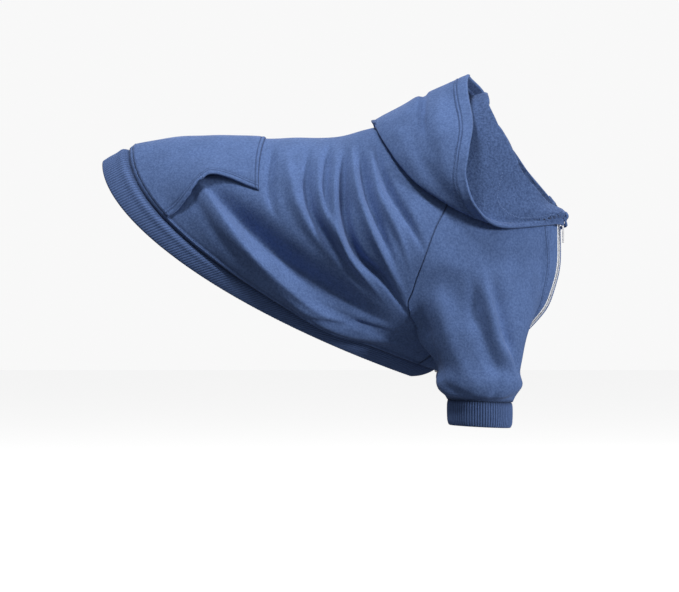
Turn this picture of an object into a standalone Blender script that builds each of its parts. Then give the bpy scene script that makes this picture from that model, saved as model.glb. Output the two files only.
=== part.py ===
# Dog hoodie for a giant breed, zipped up and in its worn shape: a fleece body with raglan sleeves,
# ribbed cuffs and hem, a hood lying back on the shoulders, a pocket across the back and a zip that
# runs down the chest and under the belly.
# Metres, +Z up, +X towards the chest, the garment's right side at -Y. The origin lies on the inner
# face of the back at the withers, where the garment rests.

import math

import bpy
import numpy as np
from mathutils import Matrix

# Driving sizes
BODY_LENGTH = 0.782
BODY_DEPTH = 0.425
BODY_HALF_WIDTH = 0.150
FLEECE = 0.0025
RIB_KNIT = 0.0030
SEAM_GAP = 0.0006
HEM_RIB_WIDTH = 0.0445
HEM_RIB_TUCK = 0.005
HEM_RIB_ROLL = 0.003
SLEEVE_LENGTH_BELOW_WITHERS = 0.462
SLEEVE_SPREAD = 0.108
SLEEVE_FORWARD = 0.156
LEFT_SLEEVE_FORWARD = 0.009
CUFF_LENGTH = 0.043
CUFF_WIDTH = 0.107
CUFF_THROUGH = 0.080
CUFF_TAPER = 0.985
CUFF_TILT = 0.05
SLEEVE_SEAM_SETBACK = 0.0014
SLEEVE_BLOUSE = 0.17
SLEEVE_BLOUSE_AT = 0.90
SLEEVE_BLOUSE_SPAN = 0.07
SLEEVE_TURN_IN = 0.24
SLEEVE_EASING = 4
SLEEVE_TOP_HOLD = 0.38
SLEEVE_CUFF_RISE = 0.100
SLEEVE_CUFF_SPREAD = 0.62
SLEEVE_REAR_FULLNESS = 0.011
SLEEVE_REAR_SHARE = 0.22
SLEEVE_REAR_SPAN = 0.13
SLEEVE_REAR_POWER = 3
LEG_DIRECTION = (0.10, -0.05, -1.0)
UNDERARM_DIRECTION = (0.0, -0.1, -1.0)
UNDERARM_LEAN = 0.2
UNDERARM_SHARE = 0.24
SLEEVE_FOLD_FADE = 0.22
HOOD_DEPTH = 0.200
HOOD_CLEARANCE = 0.010
HOOD_FRONT_CLEARANCE = 0.006
HOOD_FRONT_FLAP = 0.006
HOOD_SEAM_RISE = 0.0006
HOOD_SKEW = 0.036
HOOD_SKEW_UP = 0.004
HOOD_SKEW_STATION = 0.14
HOOD_CROWN = 0.013
HOOD_CROWN_END = 0.8
HOOD_CROWN_SPAN = 0.5
HOOD_FLAP_START = 0.7
HOOD_FLAP_SPAN = 0.15
HOOD_NAPE_DIP = 0.75
HOOD_NAPE_SPAN = 0.12
POCKET_START = 0.012
POCKET_REACH = 0.437
POCKET_LIFT = 0.012
POCKET_FULLNESS = 0.004
POCKET_CLEARANCE = 0.0011
ZIP_SHIFT = 0.020
ZIP_SHIFT_START = 0.30
ZIP_SHIFT_SPAN = 0.40
ZIP_TAPE_WIDTH = 0.0075
ZIP_TAPE = 0.0012
ZIP_CHAIN_WIDTH = 0.0055
ZIP_CHAIN = 0.0026
ZIP_CLEARANCE = 0.0003
ZIP_CHAIN_PROUD = 0.0004
ZIP_TAPE_SUNK = 0.0006
SLIDER_BELOW_NECK = 0.008
SLIDER_WIDTH = 0.0100
SLIDER_LENGTH = 0.0120
SLIDER_HEIGHT = 0.0032
SLIDER_EDGE = 0.0007
EAR_WALL = 0.0012
EAR_LENGTH = 0.0040
PIN_RADIUS = 0.0008
PULL_BARREL_RADIUS = 0.0020
PULL_BARREL_LENGTH = 0.0036
PULL_RUNNING_GAP = 0.0004
PULL_NECK_LENGTH = 0.0060
PULL_WIDTH = 0.0080
PULL_LENGTH = 0.0340
PULL_THICKNESS = 0.0016
PULL_EDGE = 0.0004

# Rings round the body, from the hem seam (place 0) to the neck seam (place 1). Lengths along X and
# the bow are shares of BODY_LENGTH, heights of BODY_DEPTH, widths of BODY_HALF_WIDTH. The hem's
# free edge is one more ring, with the same columns after the place.
RING_COLUMNS = ("place", "back_x", "back_z", "belly_x", "belly_z", "half_width", "bow", "high")
RINGS = (
    (0.00, -0.554, -0.088, 0.113, -0.988, 0.810, 0.250, 0.20),
    (0.13, -0.472, -0.068, 0.154, -0.976, 0.880, 0.235, 0.18),
    (0.26, -0.385, -0.058, 0.198, -0.948, 0.945, 0.220, 0.16),
    (0.39, -0.293, -0.054, 0.241, -0.912, 0.985, 0.205, 0.13),
    (0.52, -0.200, -0.052, 0.285, -0.864, 1.000, 0.190, 0.10),
    (0.65, -0.111, -0.048, 0.330, -0.784, 0.975, 0.175, 0.07),
    (0.77, -0.050, -0.022, 0.363, -0.692, 0.900, 0.155, 0.04),
    (0.88, 0.000, 0.000, 0.380, -0.564, 0.780, 0.135, 0.02),
    (1.00, 0.030, 0.018, 0.3815, -0.376, 0.660, 0.120, 0.00),
)
RING_BLUNTNESS = 0.05
HEM_EDGE = (-0.630, -0.160, 0.041, -1.012, 0.780, 0.214, 0.20)

# Folds of the worn cloth, each a bent line in side view from a start over a middle to an end. X is a
# share of BODY_LENGTH, Z of BODY_DEPTH, width and height of BODY_LENGTH; a valley has a height below 0.
FOLD_COLUMNS = ("x0", "z0", "x1", "z1", "x2", "z2", "width", "height")
FOLDS = (
    (-0.402, -0.260, -0.240, -0.590, 0.120, -0.935, 0.032, 0.014),
    (-0.365, -0.230, -0.185, -0.510, 0.060, -0.800, 0.030, -0.013),
    (-0.245, -0.140, -0.250, -0.260, -0.243, -0.400, 0.024, -0.006),
    (-0.165, -0.200, -0.150, -0.360, -0.110, -0.520, 0.024, -0.007),
    (-0.075, -0.200, -0.055, -0.440, 0.045, -0.740, 0.024, -0.011),
    (-0.120, -0.270, -0.105, -0.480, 0.015, -0.740, 0.024, 0.007),
    (-0.035, -0.120, -0.010, -0.330, 0.035, -0.560, 0.022, 0.006),
    (-0.180, -0.720, -0.060, -0.800, 0.080, -0.860, 0.030, -0.007),
    (0.202, -0.620, 0.240, -0.800, 0.275, -1.000, 0.024, 0.009),
    (0.175, -0.640, 0.190, -0.830, 0.215, -1.010, 0.024, -0.007),
)
FOLD_STEPS = 24
FOLD_FADE = 0.18
FOLD_END_HEIGHT = 0.2
FOLD_SIDE_RISE = 1.6
FOLD_NECK_CALM = 0.12

# The raglan seam and the front seam climb from the armpit to the neck. Turns are shares of half a
# turn round the ring from the spine.
ARMPIT_PLACE = 0.28
SEAM_COLUMNS = ("place", "turn")
RAGLAN_SEAM = (
    (0.28, 0.780),
    (0.31, 0.700),
    (0.375, 0.640),
    (0.482, 0.592),
    (0.566, 0.556),
    (0.651, 0.520),
    (0.744, 0.487),
    (0.863, 0.460),
    (1.00, 0.440),
)
FRONT_SEAM = (
    (0.28, 0.780),
    (0.32, 0.850),
    (0.40, 0.890),
    (0.50, 0.910),
    (0.60, 0.910),
    (0.68, 0.895),
    (0.75, 0.868),
    (0.833, 0.840),
    (0.90, 0.820),
    (1.00, 0.795),
)
BELLY_SEAM_AT_HEM = 0.850

# The hood hangs in an S between its neck seam and its face edge, given at stations from the nape
# (0) to the zip (1). The fold rests on the shoulders at a place and turn of the body. The roll is
# measured from the neck seam and the edge from the fold, forward, outward and up, as shares of
# HOOD_DEPTH.
HOOD_COLUMNS = (
    "station", "fold_place", "fold_turn",
    "roll_forward", "roll_out", "roll_up",
    "edge_forward", "edge_out", "edge_up",
)
HOOD = (
    (0.00, 0.820, 0.000, 0.740, 0.000, 0.210, 0.820, 0.000, 0.405),
    (0.15, 0.844, 0.182, 0.720, -0.015, 0.245, 0.700, -0.050, 0.370),
    (0.30, 0.842, 0.285, 0.635, -0.065, 0.285, 0.600, -0.005, 0.340),
    (0.45, 0.834, 0.370, 0.475, -0.095, 0.270, 0.420, 0.065, 0.260),
    (0.60, 0.851, 0.461, 0.280, -0.080, 0.210, 0.185, 0.100, 0.170),
    (0.70, 0.870, 0.539, 0.160, -0.055, 0.165, 0.060, 0.105, 0.060),
    (0.80, 0.905, 0.650, 0.060, -0.025, 0.120, -0.060, 0.085, -0.015),
    (0.90, 0.950, 0.790, 0.000, -0.010, 0.085, -0.050, 0.060, -0.045),
    (1.00, 0.990, 1.000, 0.005, 0.000, 0.070, 0.010, 0.010, -0.050),
)
HOOD_KNOTS = (0.0, 0.17, 0.33, 0.50, 0.67, 0.84, 1.0)

# The pocket's half turn at shares of its reach from the hem seam: the scooped hand openings.
POCKET_COLUMNS = ("share", "turn")
POCKET_SIDE = (
    (0.00, 0.289),
    (0.11, 0.282),
    (0.28, 0.263),
    (0.47, 0.234),
    (0.66, 0.203),
    (0.80, 0.215),
    (1.00, 0.256),
)
POCKET_CORNER_DROP = 0.077
POCKET_CORNER_POWER = 2.2
POCKET_MOUTH_START = 0.1
POCKET_MOUTH_SPAN = 0.85
POCKET_MOUTH_POWER = 4
POCKET_MOUTH_ROUNDING = 1.5

# Grid steps. The armhole has 40 points from the armpit up, along the neck and down again; the known
# ones lead to these shares of the round of the cuff.
ROWS_BELOW_ARMPIT = 6
ROWS_ABOVE_ARMPIT = 16
ARMPIT_CROWDING = 1.5
BODY_COLUMNS = 32
CHEST_COLUMNS = 3
NECK_COLUMNS = 8
ARMHOLE_KNOWN = (0, 4, 16, 24, 30, 40)
ARMHOLE_SHARES = (0.0, 0.25, 0.41, 0.59, 0.75, 1.0)
SLEEVE_ROWS = (0.0, 0.12, 0.27, 0.43, 0.59, 0.73, 0.84, 0.93, 1.0)
HOOD_ROWS = (0.0, 0.12, 0.24, 0.31, 0.36, 0.42, 0.52, 0.60, 0.66, 0.71, 0.78, 0.86, 0.93, 1.0)
HOOD_COLUMNS_ROUND = 36
POCKET_ROWS = 12
POCKET_COLUMNS_ROUND = 14
RIB_ROWS = 2
RIB_COLUMNS = 36
CUFF_SIDES = 20
BARREL_SIDES = 16

PI = math.pi
FLEECE_ROUGHNESS = 0.95
RIB_ROUGHNESS = 0.9
ENAMEL_ROUGHNESS = 0.3
FLEECE_BLUE = (0.072, 0.133, 0.330, 1.0)
RIB_BLUE = (0.066, 0.124, 0.312, 1.0)
ZIP_WHITE = (0.85, 0.86, 0.88, 1.0)
ENAMEL_WHITE = (0.90, 0.90, 0.92, 1.0)


def column(table, names, name):
    return np.array([row[names.index(name)] for row in table])


def eased(stations, values, at):
    """Smooth curve through a table column: cubic pieces whose slopes are those of np.gradient."""
    stations = np.asarray(stations, float)
    values = np.asarray(values, float)
    slopes = np.gradient(values, stations, axis=0)
    last = len(stations) - 2
    piece = np.clip(np.searchsorted(stations, at, side="right") - 1, 0, last)
    step = stations[piece + 1] - stations[piece]
    t = (at - stations[piece]) / step
    return (
        (2 * t**3 - 3 * t**2 + 1) * values[piece]
        + (t**3 - 2 * t**2 + t) * step * slopes[piece]
        + (3 * t**2 - 2 * t**3) * values[piece + 1]
        + (t**3 - t**2) * step * slopes[piece + 1]
    )


def unit(vectors):
    return vectors / np.linalg.norm(vectors, axis=-1, keepdims=True)


def ring_points(back_x, back_z, belly_x, belly_z, half_width, bow, high, turn):
    """Points of a slanted ring: from back to belly by cosine, bowed away from the straight line."""
    share = (1 - np.cos(turn)) / 2
    run_x = (belly_x - back_x) * BODY_LENGTH
    run_z = (belly_z - back_z) * BODY_DEPTH
    run = np.hypot(run_x, run_z)
    bulge = bow * BODY_LENGTH * share * (1 - share) / np.sqrt(share + RING_BLUNTNESS)
    x = back_x * BODY_LENGTH + share * run_x + bulge * run_z / run
    z = back_z * BODY_DEPTH + share * run_z - bulge * run_x / run
    y = -half_width * BODY_HALF_WIDTH * np.sin(turn) * (1 + high * np.cos(turn))
    return np.stack([x, y, z + FLEECE], -1)


def plain_torso(place, turn):
    """The unfolded outer surface. Turn 0 is the spine, pi the belly, and 0 to pi the right side."""
    place, turn = np.broadcast_arrays(np.asarray(place, float), np.asarray(turn, float))
    sizes = [
        eased(column(RINGS, RING_COLUMNS, "place"), column(RINGS, RING_COLUMNS, name), place)
        for name in RING_COLUMNS[1:]
    ]
    return ring_points(*sizes, turn)


def outward(surface, place, turn, step=1e-4):
    """Unit normals of a body surface, from differences along its two parameters."""
    along = surface(place + step, turn) - surface(place - step, turn)
    round_ring = surface(place, turn + step) - surface(place, turn - step)
    return unit(np.cross(round_ring, along))


def fold_height(points):
    """Height of the folds at points of the body: a bell across each fold's line, faded at its ends."""
    x = points[..., 0] / BODY_LENGTH
    z = points[..., 2] / BODY_DEPTH
    squash = BODY_DEPTH / BODY_LENGTH
    t = np.linspace(0, 1, FOLD_STEPS)
    height = np.zeros(x.shape)
    for row in FOLDS:
        x0, z0, x1, z1, x2, z2, width, top = (row[FOLD_COLUMNS.index(name)] for name in FOLD_COLUMNS)
        line_x = (1 - t) ** 2 * x0 + 2 * t * (1 - t) * (2 * x1 - (x0 + x2) / 2) + t**2 * x2
        line_z = (1 - t) ** 2 * z0 + 2 * t * (1 - t) * (2 * z1 - (z0 + z2) / 2) + t**2 * z2
        apart = (x[..., None] - line_x) ** 2 + ((z[..., None] - line_z) * squash) ** 2
        nearest = apart.argmin(-1)
        along = t[nearest]
        fade = np.clip(np.minimum(along, 1 - along) / FOLD_FADE, 0, 1)
        fade = FOLD_END_HEIGHT + (1 - FOLD_END_HEIGHT) * fade
        height += top * fade * np.exp(-apart.min(-1) / width**2)
    return height * BODY_LENGTH


def torso(place, turn):
    """The body's outer surface with its folds, which fade out towards spine, belly and neck."""
    place, turn = np.broadcast_arrays(np.asarray(place, float), np.asarray(turn, float))
    points = plain_torso(place, turn)
    side = np.clip(np.abs(np.sin(turn)) * FOLD_SIDE_RISE, 0, 1)
    calm = side * np.clip((1.0 - place) / FOLD_NECK_CALM, 0, 1)
    lift = fold_height(points) * calm
    return points + outward(plain_torso, place, turn) * lift[..., None]


def seam_turn(seam, place):
    return eased(column(seam, SEAM_COLUMNS, "place"), column(seam, SEAM_COLUMNS, "turn"), place) * PI


def raglan_turn(place):
    return seam_turn(RAGLAN_SEAM, place)


def front_turn(place):
    return seam_turn(FRONT_SEAM, place)


def belly_turn(place):
    """The seam between body and chest panel behind the armpit."""
    armpit = RAGLAN_SEAM[0][1]
    return (BELLY_SEAM_AT_HEM + (armpit - BELLY_SEAM_AT_HEM) * place / ARMPIT_PLACE) * PI


def back_edge_turn(place):
    return np.where(place < ARMPIT_PLACE, belly_turn(place), raglan_turn(np.maximum(place, ARMPIT_PLACE)))


def chest_edge_turn(place):
    return np.where(place < ARMPIT_PLACE, belly_turn(place), front_turn(np.maximum(place, ARMPIT_PLACE)))


def turn_per_metre(place):
    """How far the ring turns for each metre of cloth at the belly."""
    step = 1e-3
    run = plain_torso(place, PI + step) - plain_torso(place, PI - step)
    return 2 * step / np.linalg.norm(run, axis=-1)


def zip_turn(place, aside=0.0):
    """The turn of the zip's centre line, or of a line this far from it towards the left side. The zip
    runs along the belly's middle and turns towards the right side up the chest."""
    risen = np.clip((np.asarray(place) - ZIP_SHIFT_START) / ZIP_SHIFT_SPAN, 0, 1)
    shift = ZIP_SHIFT * risen * risen * (3 - 2 * risen)
    return PI + (aside - shift) * turn_per_metre(place)


def body_rows():
    low = np.linspace(0, ARMPIT_PLACE, ROWS_BELOW_ARMPIT + 1)
    share = np.linspace(0, 1, ROWS_ABOVE_ARMPIT + 1) ** ARMPIT_CROWDING
    return np.concatenate([low[:-1], ARMPIT_PLACE + (1 - ARMPIT_PLACE) * share])


def drawn_in(grid, closed=False):
    """Pulls a panel's edges back by half a seam gap, so that it stays clear of its neighbours."""
    grid = grid.copy()
    for line, inner in ((0, 1), (-1, -2)):
        grid[line] += unit(grid[inner] - grid[line]) * SEAM_GAP / 2
        if not closed:
            grid[:, line] += unit(grid[:, inner] - grid[:, line]) * SEAM_GAP / 2
    return grid


def named_material(name, colour, roughness, metallic=0.0):
    material = bpy.data.materials.get(name) or bpy.data.materials.new(name)
    material.use_nodes = True
    shader = material.node_tree.nodes["Principled BSDF"]
    shader.inputs["Base Color"].default_value = colour
    shader.inputs["Roughness"].default_value = roughness
    shader.inputs["Metallic"].default_value = metallic
    material.diffuse_color = colour
    return material


def add_object(name, mesh, material):
    piece = bpy.data.objects.new(name, mesh)
    bpy.data.collections["dog_hoodie"].objects.link(piece)
    piece.parent = bpy.data.objects["withers"]
    mesh.materials.append(material)
    return piece


def cloth(name, grid, thickness, material, closed=False):
    """A sheet of cloth from a grid of points on its outer face. Closed joins its last column to its
    first."""
    rows, columns = grid.shape[:2]
    index = np.arange(rows * columns).reshape(rows, columns)
    if closed:
        index = np.hstack([index, index[:, :1]])
    corners = (index[:-1, :-1], index[:-1, 1:], index[1:, 1:], index[1:, :-1])
    faces = np.stack([corner.ravel() for corner in corners], -1)
    mesh = bpy.data.meshes.new(name)
    mesh.from_pydata(grid.reshape(-1, 3).tolist(), [], faces.tolist())
    mesh.shade_smooth()
    piece = add_object(name, mesh, material)
    wall = piece.modifiers.new("wall", "SOLIDIFY")
    wall.thickness = thickness
    wall.offset = -1
    wall.use_quality_normals = True
    return piece


def add_body():
    """The back and both flanks in one piece, up to the raglan seams."""
    rows = body_rows()[:, None]
    across = np.linspace(-1, 1, BODY_COLUMNS + 1)
    grid = torso(rows, across * back_edge_turn(rows))
    cloth("body", drawn_in(grid), FLEECE, named_material("fleece", FLEECE_BLUE, FLEECE_ROUGHNESS))


def add_chest_panel(side):
    """The strip between sleeve and zip, from the neck down the chest and back under the belly."""
    rows = body_rows()[:, None]
    zip_edge = (ZIP_CHAIN_WIDTH / 2 + ZIP_TAPE_WIDTH) * side
    outer = chest_edge_turn(rows) if side < 0 else 2 * PI - chest_edge_turn(rows)
    inner = zip_turn(rows, zip_edge)
    first, last = (outer, inner) if side < 0 else (inner, outer)
    across = np.linspace(0, 1, CHEST_COLUMNS + 1)
    grid = torso(rows, first + (last - first) * across)
    name = "chest_panel_right" if side < 0 else "chest_panel_left"
    cloth(name, drawn_in(grid), FLEECE, named_material("fleece", FLEECE_BLUE, FLEECE_ROUGHNESS))


def armhole():
    """Place and turn of the armhole's points, from the armpit up the raglan seam, along the neck
    and down the front seam, with the share of the cuff's round that each leads to."""
    climb = body_rows()[ROWS_BELOW_ARMPIT:]
    neck = np.linspace(raglan_turn(1.0), front_turn(1.0), NECK_COLUMNS + 1)
    place = np.concatenate([climb[:-1], np.ones(NECK_COLUMNS), climb[:0:-1]])
    turn = np.concatenate([raglan_turn(climb[:-1]), neck[:-1], front_turn(climb[:0:-1])])
    share = np.interp(np.arange(len(place)), ARMHOLE_KNOWN, ARMHOLE_SHARES)
    return place, turn, share


def cuff_ring(share, down=0.0, scale=1.0):
    """A ring of the cuff, as a share of the round from its inner side over its rear and outer side."""
    x = -np.sin(2 * PI * share) * CUFF_WIDTH / 2 * scale
    y = np.cos(2 * PI * share) * CUFF_THROUGH / 2 * scale
    z = -SLEEVE_LENGTH_BELOW_WITHERS - CUFF_TILT * x - down
    return np.stack([SLEEVE_FORWARD + x, y - SLEEVE_SPREAD, z], -1)


def add_sleeve(side):
    """A loft from the armhole to the cuff: along the body's surface at first, then down the leg, and
    bloused over the cuff."""
    place, turn, share = armhole()
    start = torso(place, turn)
    normal = outward(plain_torso, place, turn)
    seam = unit(np.roll(start, -1, 0) - np.roll(start, 1, 0))
    inward = unit(np.cross(seam, normal))
    start = start + inward * SLEEVE_SEAM_SETBACK
    end = cuff_ring(share)
    length = np.linalg.norm(end - start, axis=1, keepdims=True)
    down_leg = np.array(LEG_DIRECTION)
    along = unit(down_leg - normal * (normal @ down_leg)[:, None])
    leave = unit(along + SLEEVE_TURN_IN * inward)
    under = np.clip(1 - np.minimum(share, 1 - share) / UNDERARM_SHARE, 0, 1)[:, None]
    under = under * under * (3 - 2 * under)
    leave = unit(leave * (1 - under) + (UNDERARM_DIRECTION + UNDERARM_LEAN * normal) * under)
    for _ in range(SLEEVE_EASING):
        leave = unit(np.roll(leave, 1, 0) + 2 * leave + np.roll(leave, -1, 0))
    radial = end - end.mean(0)
    t = np.array(SLEEVE_ROWS)[:, None, None]
    first_hold = start + leave * length * SLEEVE_TOP_HOLD
    last_hold = end + np.array([0.0, 0.0, SLEEVE_CUFF_RISE]) + radial * SLEEVE_CUFF_SPREAD
    points = (
        (1 - t) ** 3 * start
        + 3 * (1 - t) ** 2 * t * first_hold
        + 3 * (1 - t) * t**2 * last_hold
        + t**3 * end
    )
    rear = np.exp(-(((share - SLEEVE_REAR_SHARE) / SLEEVE_REAR_SPAN) ** 2))
    points[..., 0] -= SLEEVE_REAR_FULLNESS * np.sin(PI * t[..., 0]) ** SLEEVE_REAR_POWER * rear
    points += radial * SLEEVE_BLOUSE * np.exp(-(((t - SLEEVE_BLOUSE_AT) / SLEEVE_BLOUSE_SPAN) ** 2))
    ends = np.minimum(t[..., 0], 1 - t[..., 0]) / SLEEVE_FOLD_FADE
    lift = fold_height(points) * np.clip(ends, 0, 1)
    points[..., 1] -= lift * (points[..., 1] < -SLEEVE_SPREAD)
    grid = drawn_in(points, closed=True)
    if side > 0:
        grid[..., 0] += LEFT_SLEEVE_FORWARD * t[..., 0] ** 2
        grid = (grid * np.array([1.0, -1.0, 1.0]))[:, ::-1]
    name = "sleeve_right" if side < 0 else "sleeve_left"
    cloth(name, grid[:, ::-1], FLEECE, named_material("fleece", FLEECE_BLUE, FLEECE_ROUGHNESS), closed=True)


def add_cuff(side):
    share = np.linspace(0, 1, CUFF_SIDES + 1)[:-1]
    rows = (
        cuff_ring(share, SEAM_GAP),
        cuff_ring(share, CUFF_LENGTH / 2),
        cuff_ring(share, CUFF_LENGTH, CUFF_TAPER),
    )
    grid = np.stack(rows)
    if side > 0:
        grid[..., 0] += LEFT_SLEEVE_FORWARD
        grid = (grid * np.array([1.0, -1.0, 1.0]))[:, ::-1]
    name = "cuff_right" if side < 0 else "cuff_left"
    cloth(name, grid[:, ::-1], RIB_KNIT, named_material("rib_knit", RIB_BLUE, RIB_ROUGHNESS), closed=True)


def hem_band(share, turn):
    """The ribbed hem from its seam (share 0) to its free edge (share 1), rolled out in between."""
    seam = plain_torso(0.0, turn)
    normal = outward(plain_torso, 0.0, turn)
    edge = ring_points(*HEM_EDGE, turn)
    start = seam - normal * HEM_RIB_TUCK
    reach = unit(edge - start)
    start = start + reach * SEAM_GAP
    end = start + (edge - start) * HEM_RIB_WIDTH / np.linalg.norm(edge - start, axis=-1).mean()
    roll = HEM_RIB_ROLL * np.sin(PI * share)
    return start + (end - start) * share + normal * roll


def add_hem_rib():
    shares = np.linspace(0, 1, RIB_ROWS + 1)
    edge = ZIP_CHAIN_WIDTH / 2 + ZIP_TAPE_WIDTH
    turn = np.linspace(zip_turn(0.0, edge) - 2 * PI, zip_turn(0.0, -edge), RIB_COLUMNS + 1)
    grid = np.stack([hem_band(share, turn) for share in shares])
    cloth("hem_rib", drawn_in(grid[::-1]), RIB_KNIT, named_material("rib_knit", RIB_BLUE, RIB_ROUGHNESS))


def hood_table(name, station):
    return eased(column(HOOD, HOOD_COLUMNS, "station"), column(HOOD, HOOD_COLUMNS, name), station)


def hood_side(station, side):
    """Control points of the hood's profile at stations of one side, outermost axis first."""
    zip_edge = zip_turn(1.0, side * (ZIP_CHAIN_WIDTH / 2 + ZIP_TAPE_WIDTH))
    reach = zip_edge if side < 0 else 2 * PI - zip_edge
    neck = plain_torso(1.0, -side * station * reach) + np.array([0.0, 0.0, HOOD_SEAM_RISE])
    fold_turn = -side * hood_table("fold_turn", station) * (PI + (reach - PI) * station**2)
    fold_place = hood_table("fold_place", station)
    normal = outward(plain_torso, fold_place, fold_turn)
    clearance = HOOD_CLEARANCE + (HOOD_FRONT_CLEARANCE - HOOD_CLEARANCE) * station**3
    fold = plain_torso(fold_place, fold_turn) + normal * clearance[:, None]
    names = (("roll_forward", "roll_out", "roll_up"), ("edge_forward", "edge_out", "edge_up"))
    spread = HOOD_DEPTH * np.array([1, side, 1])
    offsets = [np.stack([hood_table(name, station) for name in three], -1) * spread for three in names]
    roll = neck + offsets[0]
    edge = fold + offsets[1]
    if side > 0:
        skew = (station / HOOD_SKEW_STATION) ** 2
        skew = skew * np.exp(1 - skew)
        edge[..., 0] += HOOD_SKEW * skew
        edge[..., 2] += HOOD_SKEW_UP * skew
    crown = np.clip((HOOD_CROWN_END - station) / HOOD_CROWN_SPAN, 0, 1)
    crown -= HOOD_NAPE_DIP * np.exp(-((station / HOOD_NAPE_SPAN) ** 2))
    outer = (fold + edge) / 2 + normal * HOOD_CROWN * crown[:, None]
    flap = HOOD_FRONT_FLAP * np.clip((station - HOOD_FLAP_START) / HOOD_FLAP_SPAN, 0, 1)[:, None]
    lining = (roll + fold) / 2 + normal * flap
    return np.stack([neck, (neck + roll) / 2, roll, lining, fold, outer, edge])


def add_hood():
    """An S-shaped loft: up the neck to the roll, down the lining to the fold, and up to the face edge."""
    station = np.linspace(0, 1, HOOD_COLUMNS_ROUND // 2 + 1)
    left = hood_side(station[:0:-1], 1)
    right = hood_side(station, -1)
    controls = np.concatenate([left, right], axis=1)
    grid = np.stack([eased_points(HOOD_KNOTS, controls, row) for row in HOOD_ROWS])
    cloth("hood", drawn_in(grid), FLEECE, named_material("fleece", FLEECE_BLUE, FLEECE_ROUGHNESS))


def eased_points(knots, controls, at):
    """A point of the smooth curve through control points that are stacked along the first axis."""
    slopes = np.gradient(controls, np.array(knots), axis=0)
    piece = int(np.clip(np.searchsorted(knots, at, side="right") - 1, 0, len(knots) - 2))
    step = knots[piece + 1] - knots[piece]
    t = (at - knots[piece]) / step
    return (
        (2 * t**3 - 3 * t**2 + 1) * controls[piece]
        + (t**3 - 2 * t**2 + t) * step * slopes[piece]
        + (3 * t**2 - 2 * t**3) * controls[piece + 1]
        + (t**3 - t**2) * step * slopes[piece + 1]
    )


def add_pocket():
    """The pouch sewn to the back along its front edge and the hem seam, with a hand opening each side."""
    share = np.linspace(0.0, 1, POCKET_ROWS + 1)[:, None]
    across = np.linspace(-1, 1, POCKET_COLUMNS_ROUND + 1)[None]
    half_turn = eased(
        column(POCKET_SIDE, POCKET_COLUMNS, "share"),
        column(POCKET_SIDE, POCKET_COLUMNS, "turn"),
        share,
    )
    reach = POCKET_REACH - POCKET_CORNER_DROP * np.abs(across) ** POCKET_CORNER_POWER
    place = POCKET_START + share * (reach - POCKET_START)
    turn = across * half_turn * PI
    mouth = np.clip((share - POCKET_MOUTH_START) / POCKET_MOUTH_SPAN, 0, 1)
    open_side = across**POCKET_MOUTH_POWER * np.sin(PI * mouth) ** POCKET_MOUTH_ROUNDING
    full = (1 - across**2) * np.sin(PI * share)
    lift = FLEECE + POCKET_CLEARANCE + POCKET_LIFT * open_side + POCKET_FULLNESS * full
    points = torso(place, turn)
    grid = points + outward(torso, place, turn) * lift[..., None]
    cloth("back_pocket", grid, FLEECE, named_material("fleece", FLEECE_BLUE, FLEECE_ROUGHNESS))


def zip_strip(name, near, far, proud, thickness, material):
    """A strip along the zip between two lines aside of its centre, its face this far above the body."""
    rows = body_rows()[:, None]
    turn = np.concatenate([zip_turn(rows, near), zip_turn(rows, far)], axis=1)
    grid = torso(rows, turn) + outward(plain_torso, rows, turn) * proud
    over_hem = np.stack([hem_band(share, turn[0]) for share in (1.0, 0.5)])
    over_hem += outward(plain_torso, 0.0, turn[0]) * proud
    cloth(name, drawn_in(np.concatenate([over_hem, grid])), thickness, material)


def box(name, size, centre, edge=0.0):
    """A box from the cube primitive, with its edges rounded by a bevel."""
    bpy.ops.mesh.primitive_cube_add(size=1.0)
    piece = bpy.context.object
    piece.name = name
    piece.data.transform(Matrix.Diagonal((*size, 1.0)))
    piece.data.transform(Matrix.Translation(centre))
    if edge:
        rounding = piece.modifiers.new("rounding", "BEVEL")
        rounding.width = edge
        rounding.segments = 1
    return piece


def rod(name, radius, length, sides=BARREL_SIDES):
    """A rod along Y through the origin, from the cylinder primitive."""
    bpy.ops.mesh.primitive_cylinder_add(vertices=sides, radius=radius, depth=length)
    piece = bpy.context.object
    piece.name = name
    piece.data.transform(Matrix.Rotation(PI / 2, 4, "X"))
    return piece


def move_to(collection, piece):
    for old in list(piece.users_collection):
        old.objects.unlink(piece)
    bpy.data.collections[collection].objects.link(piece)


def joined(piece, other, operation):
    """Adds or cuts away a helper, which stays in the cutters' collection."""
    move_to("dog_hoodie_cutters", other)
    other.hide_render = True
    other.display_type = "WIRE"
    other.parent = piece
    step = piece.modifiers.new(operation.lower(), "BOOLEAN")
    step.operation = operation
    step.object = other
    step.solver = "EXACT"


def slider_frame():
    """Place and axes of the slider: outward from the cloth, across the zip, and up along it."""
    step = 0.01
    run = np.linalg.norm(plain_torso(1.0, PI) - plain_torso(1.0 - step, PI)) / step
    place = 1.0 - SLIDER_BELOW_NECK / run
    centre = plain_torso(place, zip_turn(place))
    above = plain_torso(place + step, zip_turn(place + step))
    up = unit(above - centre)
    out = outward(plain_torso, place, zip_turn(place))
    across = unit(np.cross(up, out))
    out = np.cross(across, up)
    return centre, out, across, up


def frame_matrix(centre, out, across, up):
    turned = Matrix([list(row) for row in np.stack([out, across, up], 1)]).to_4x4()
    return Matrix.Translation(centre) @ turned


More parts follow.
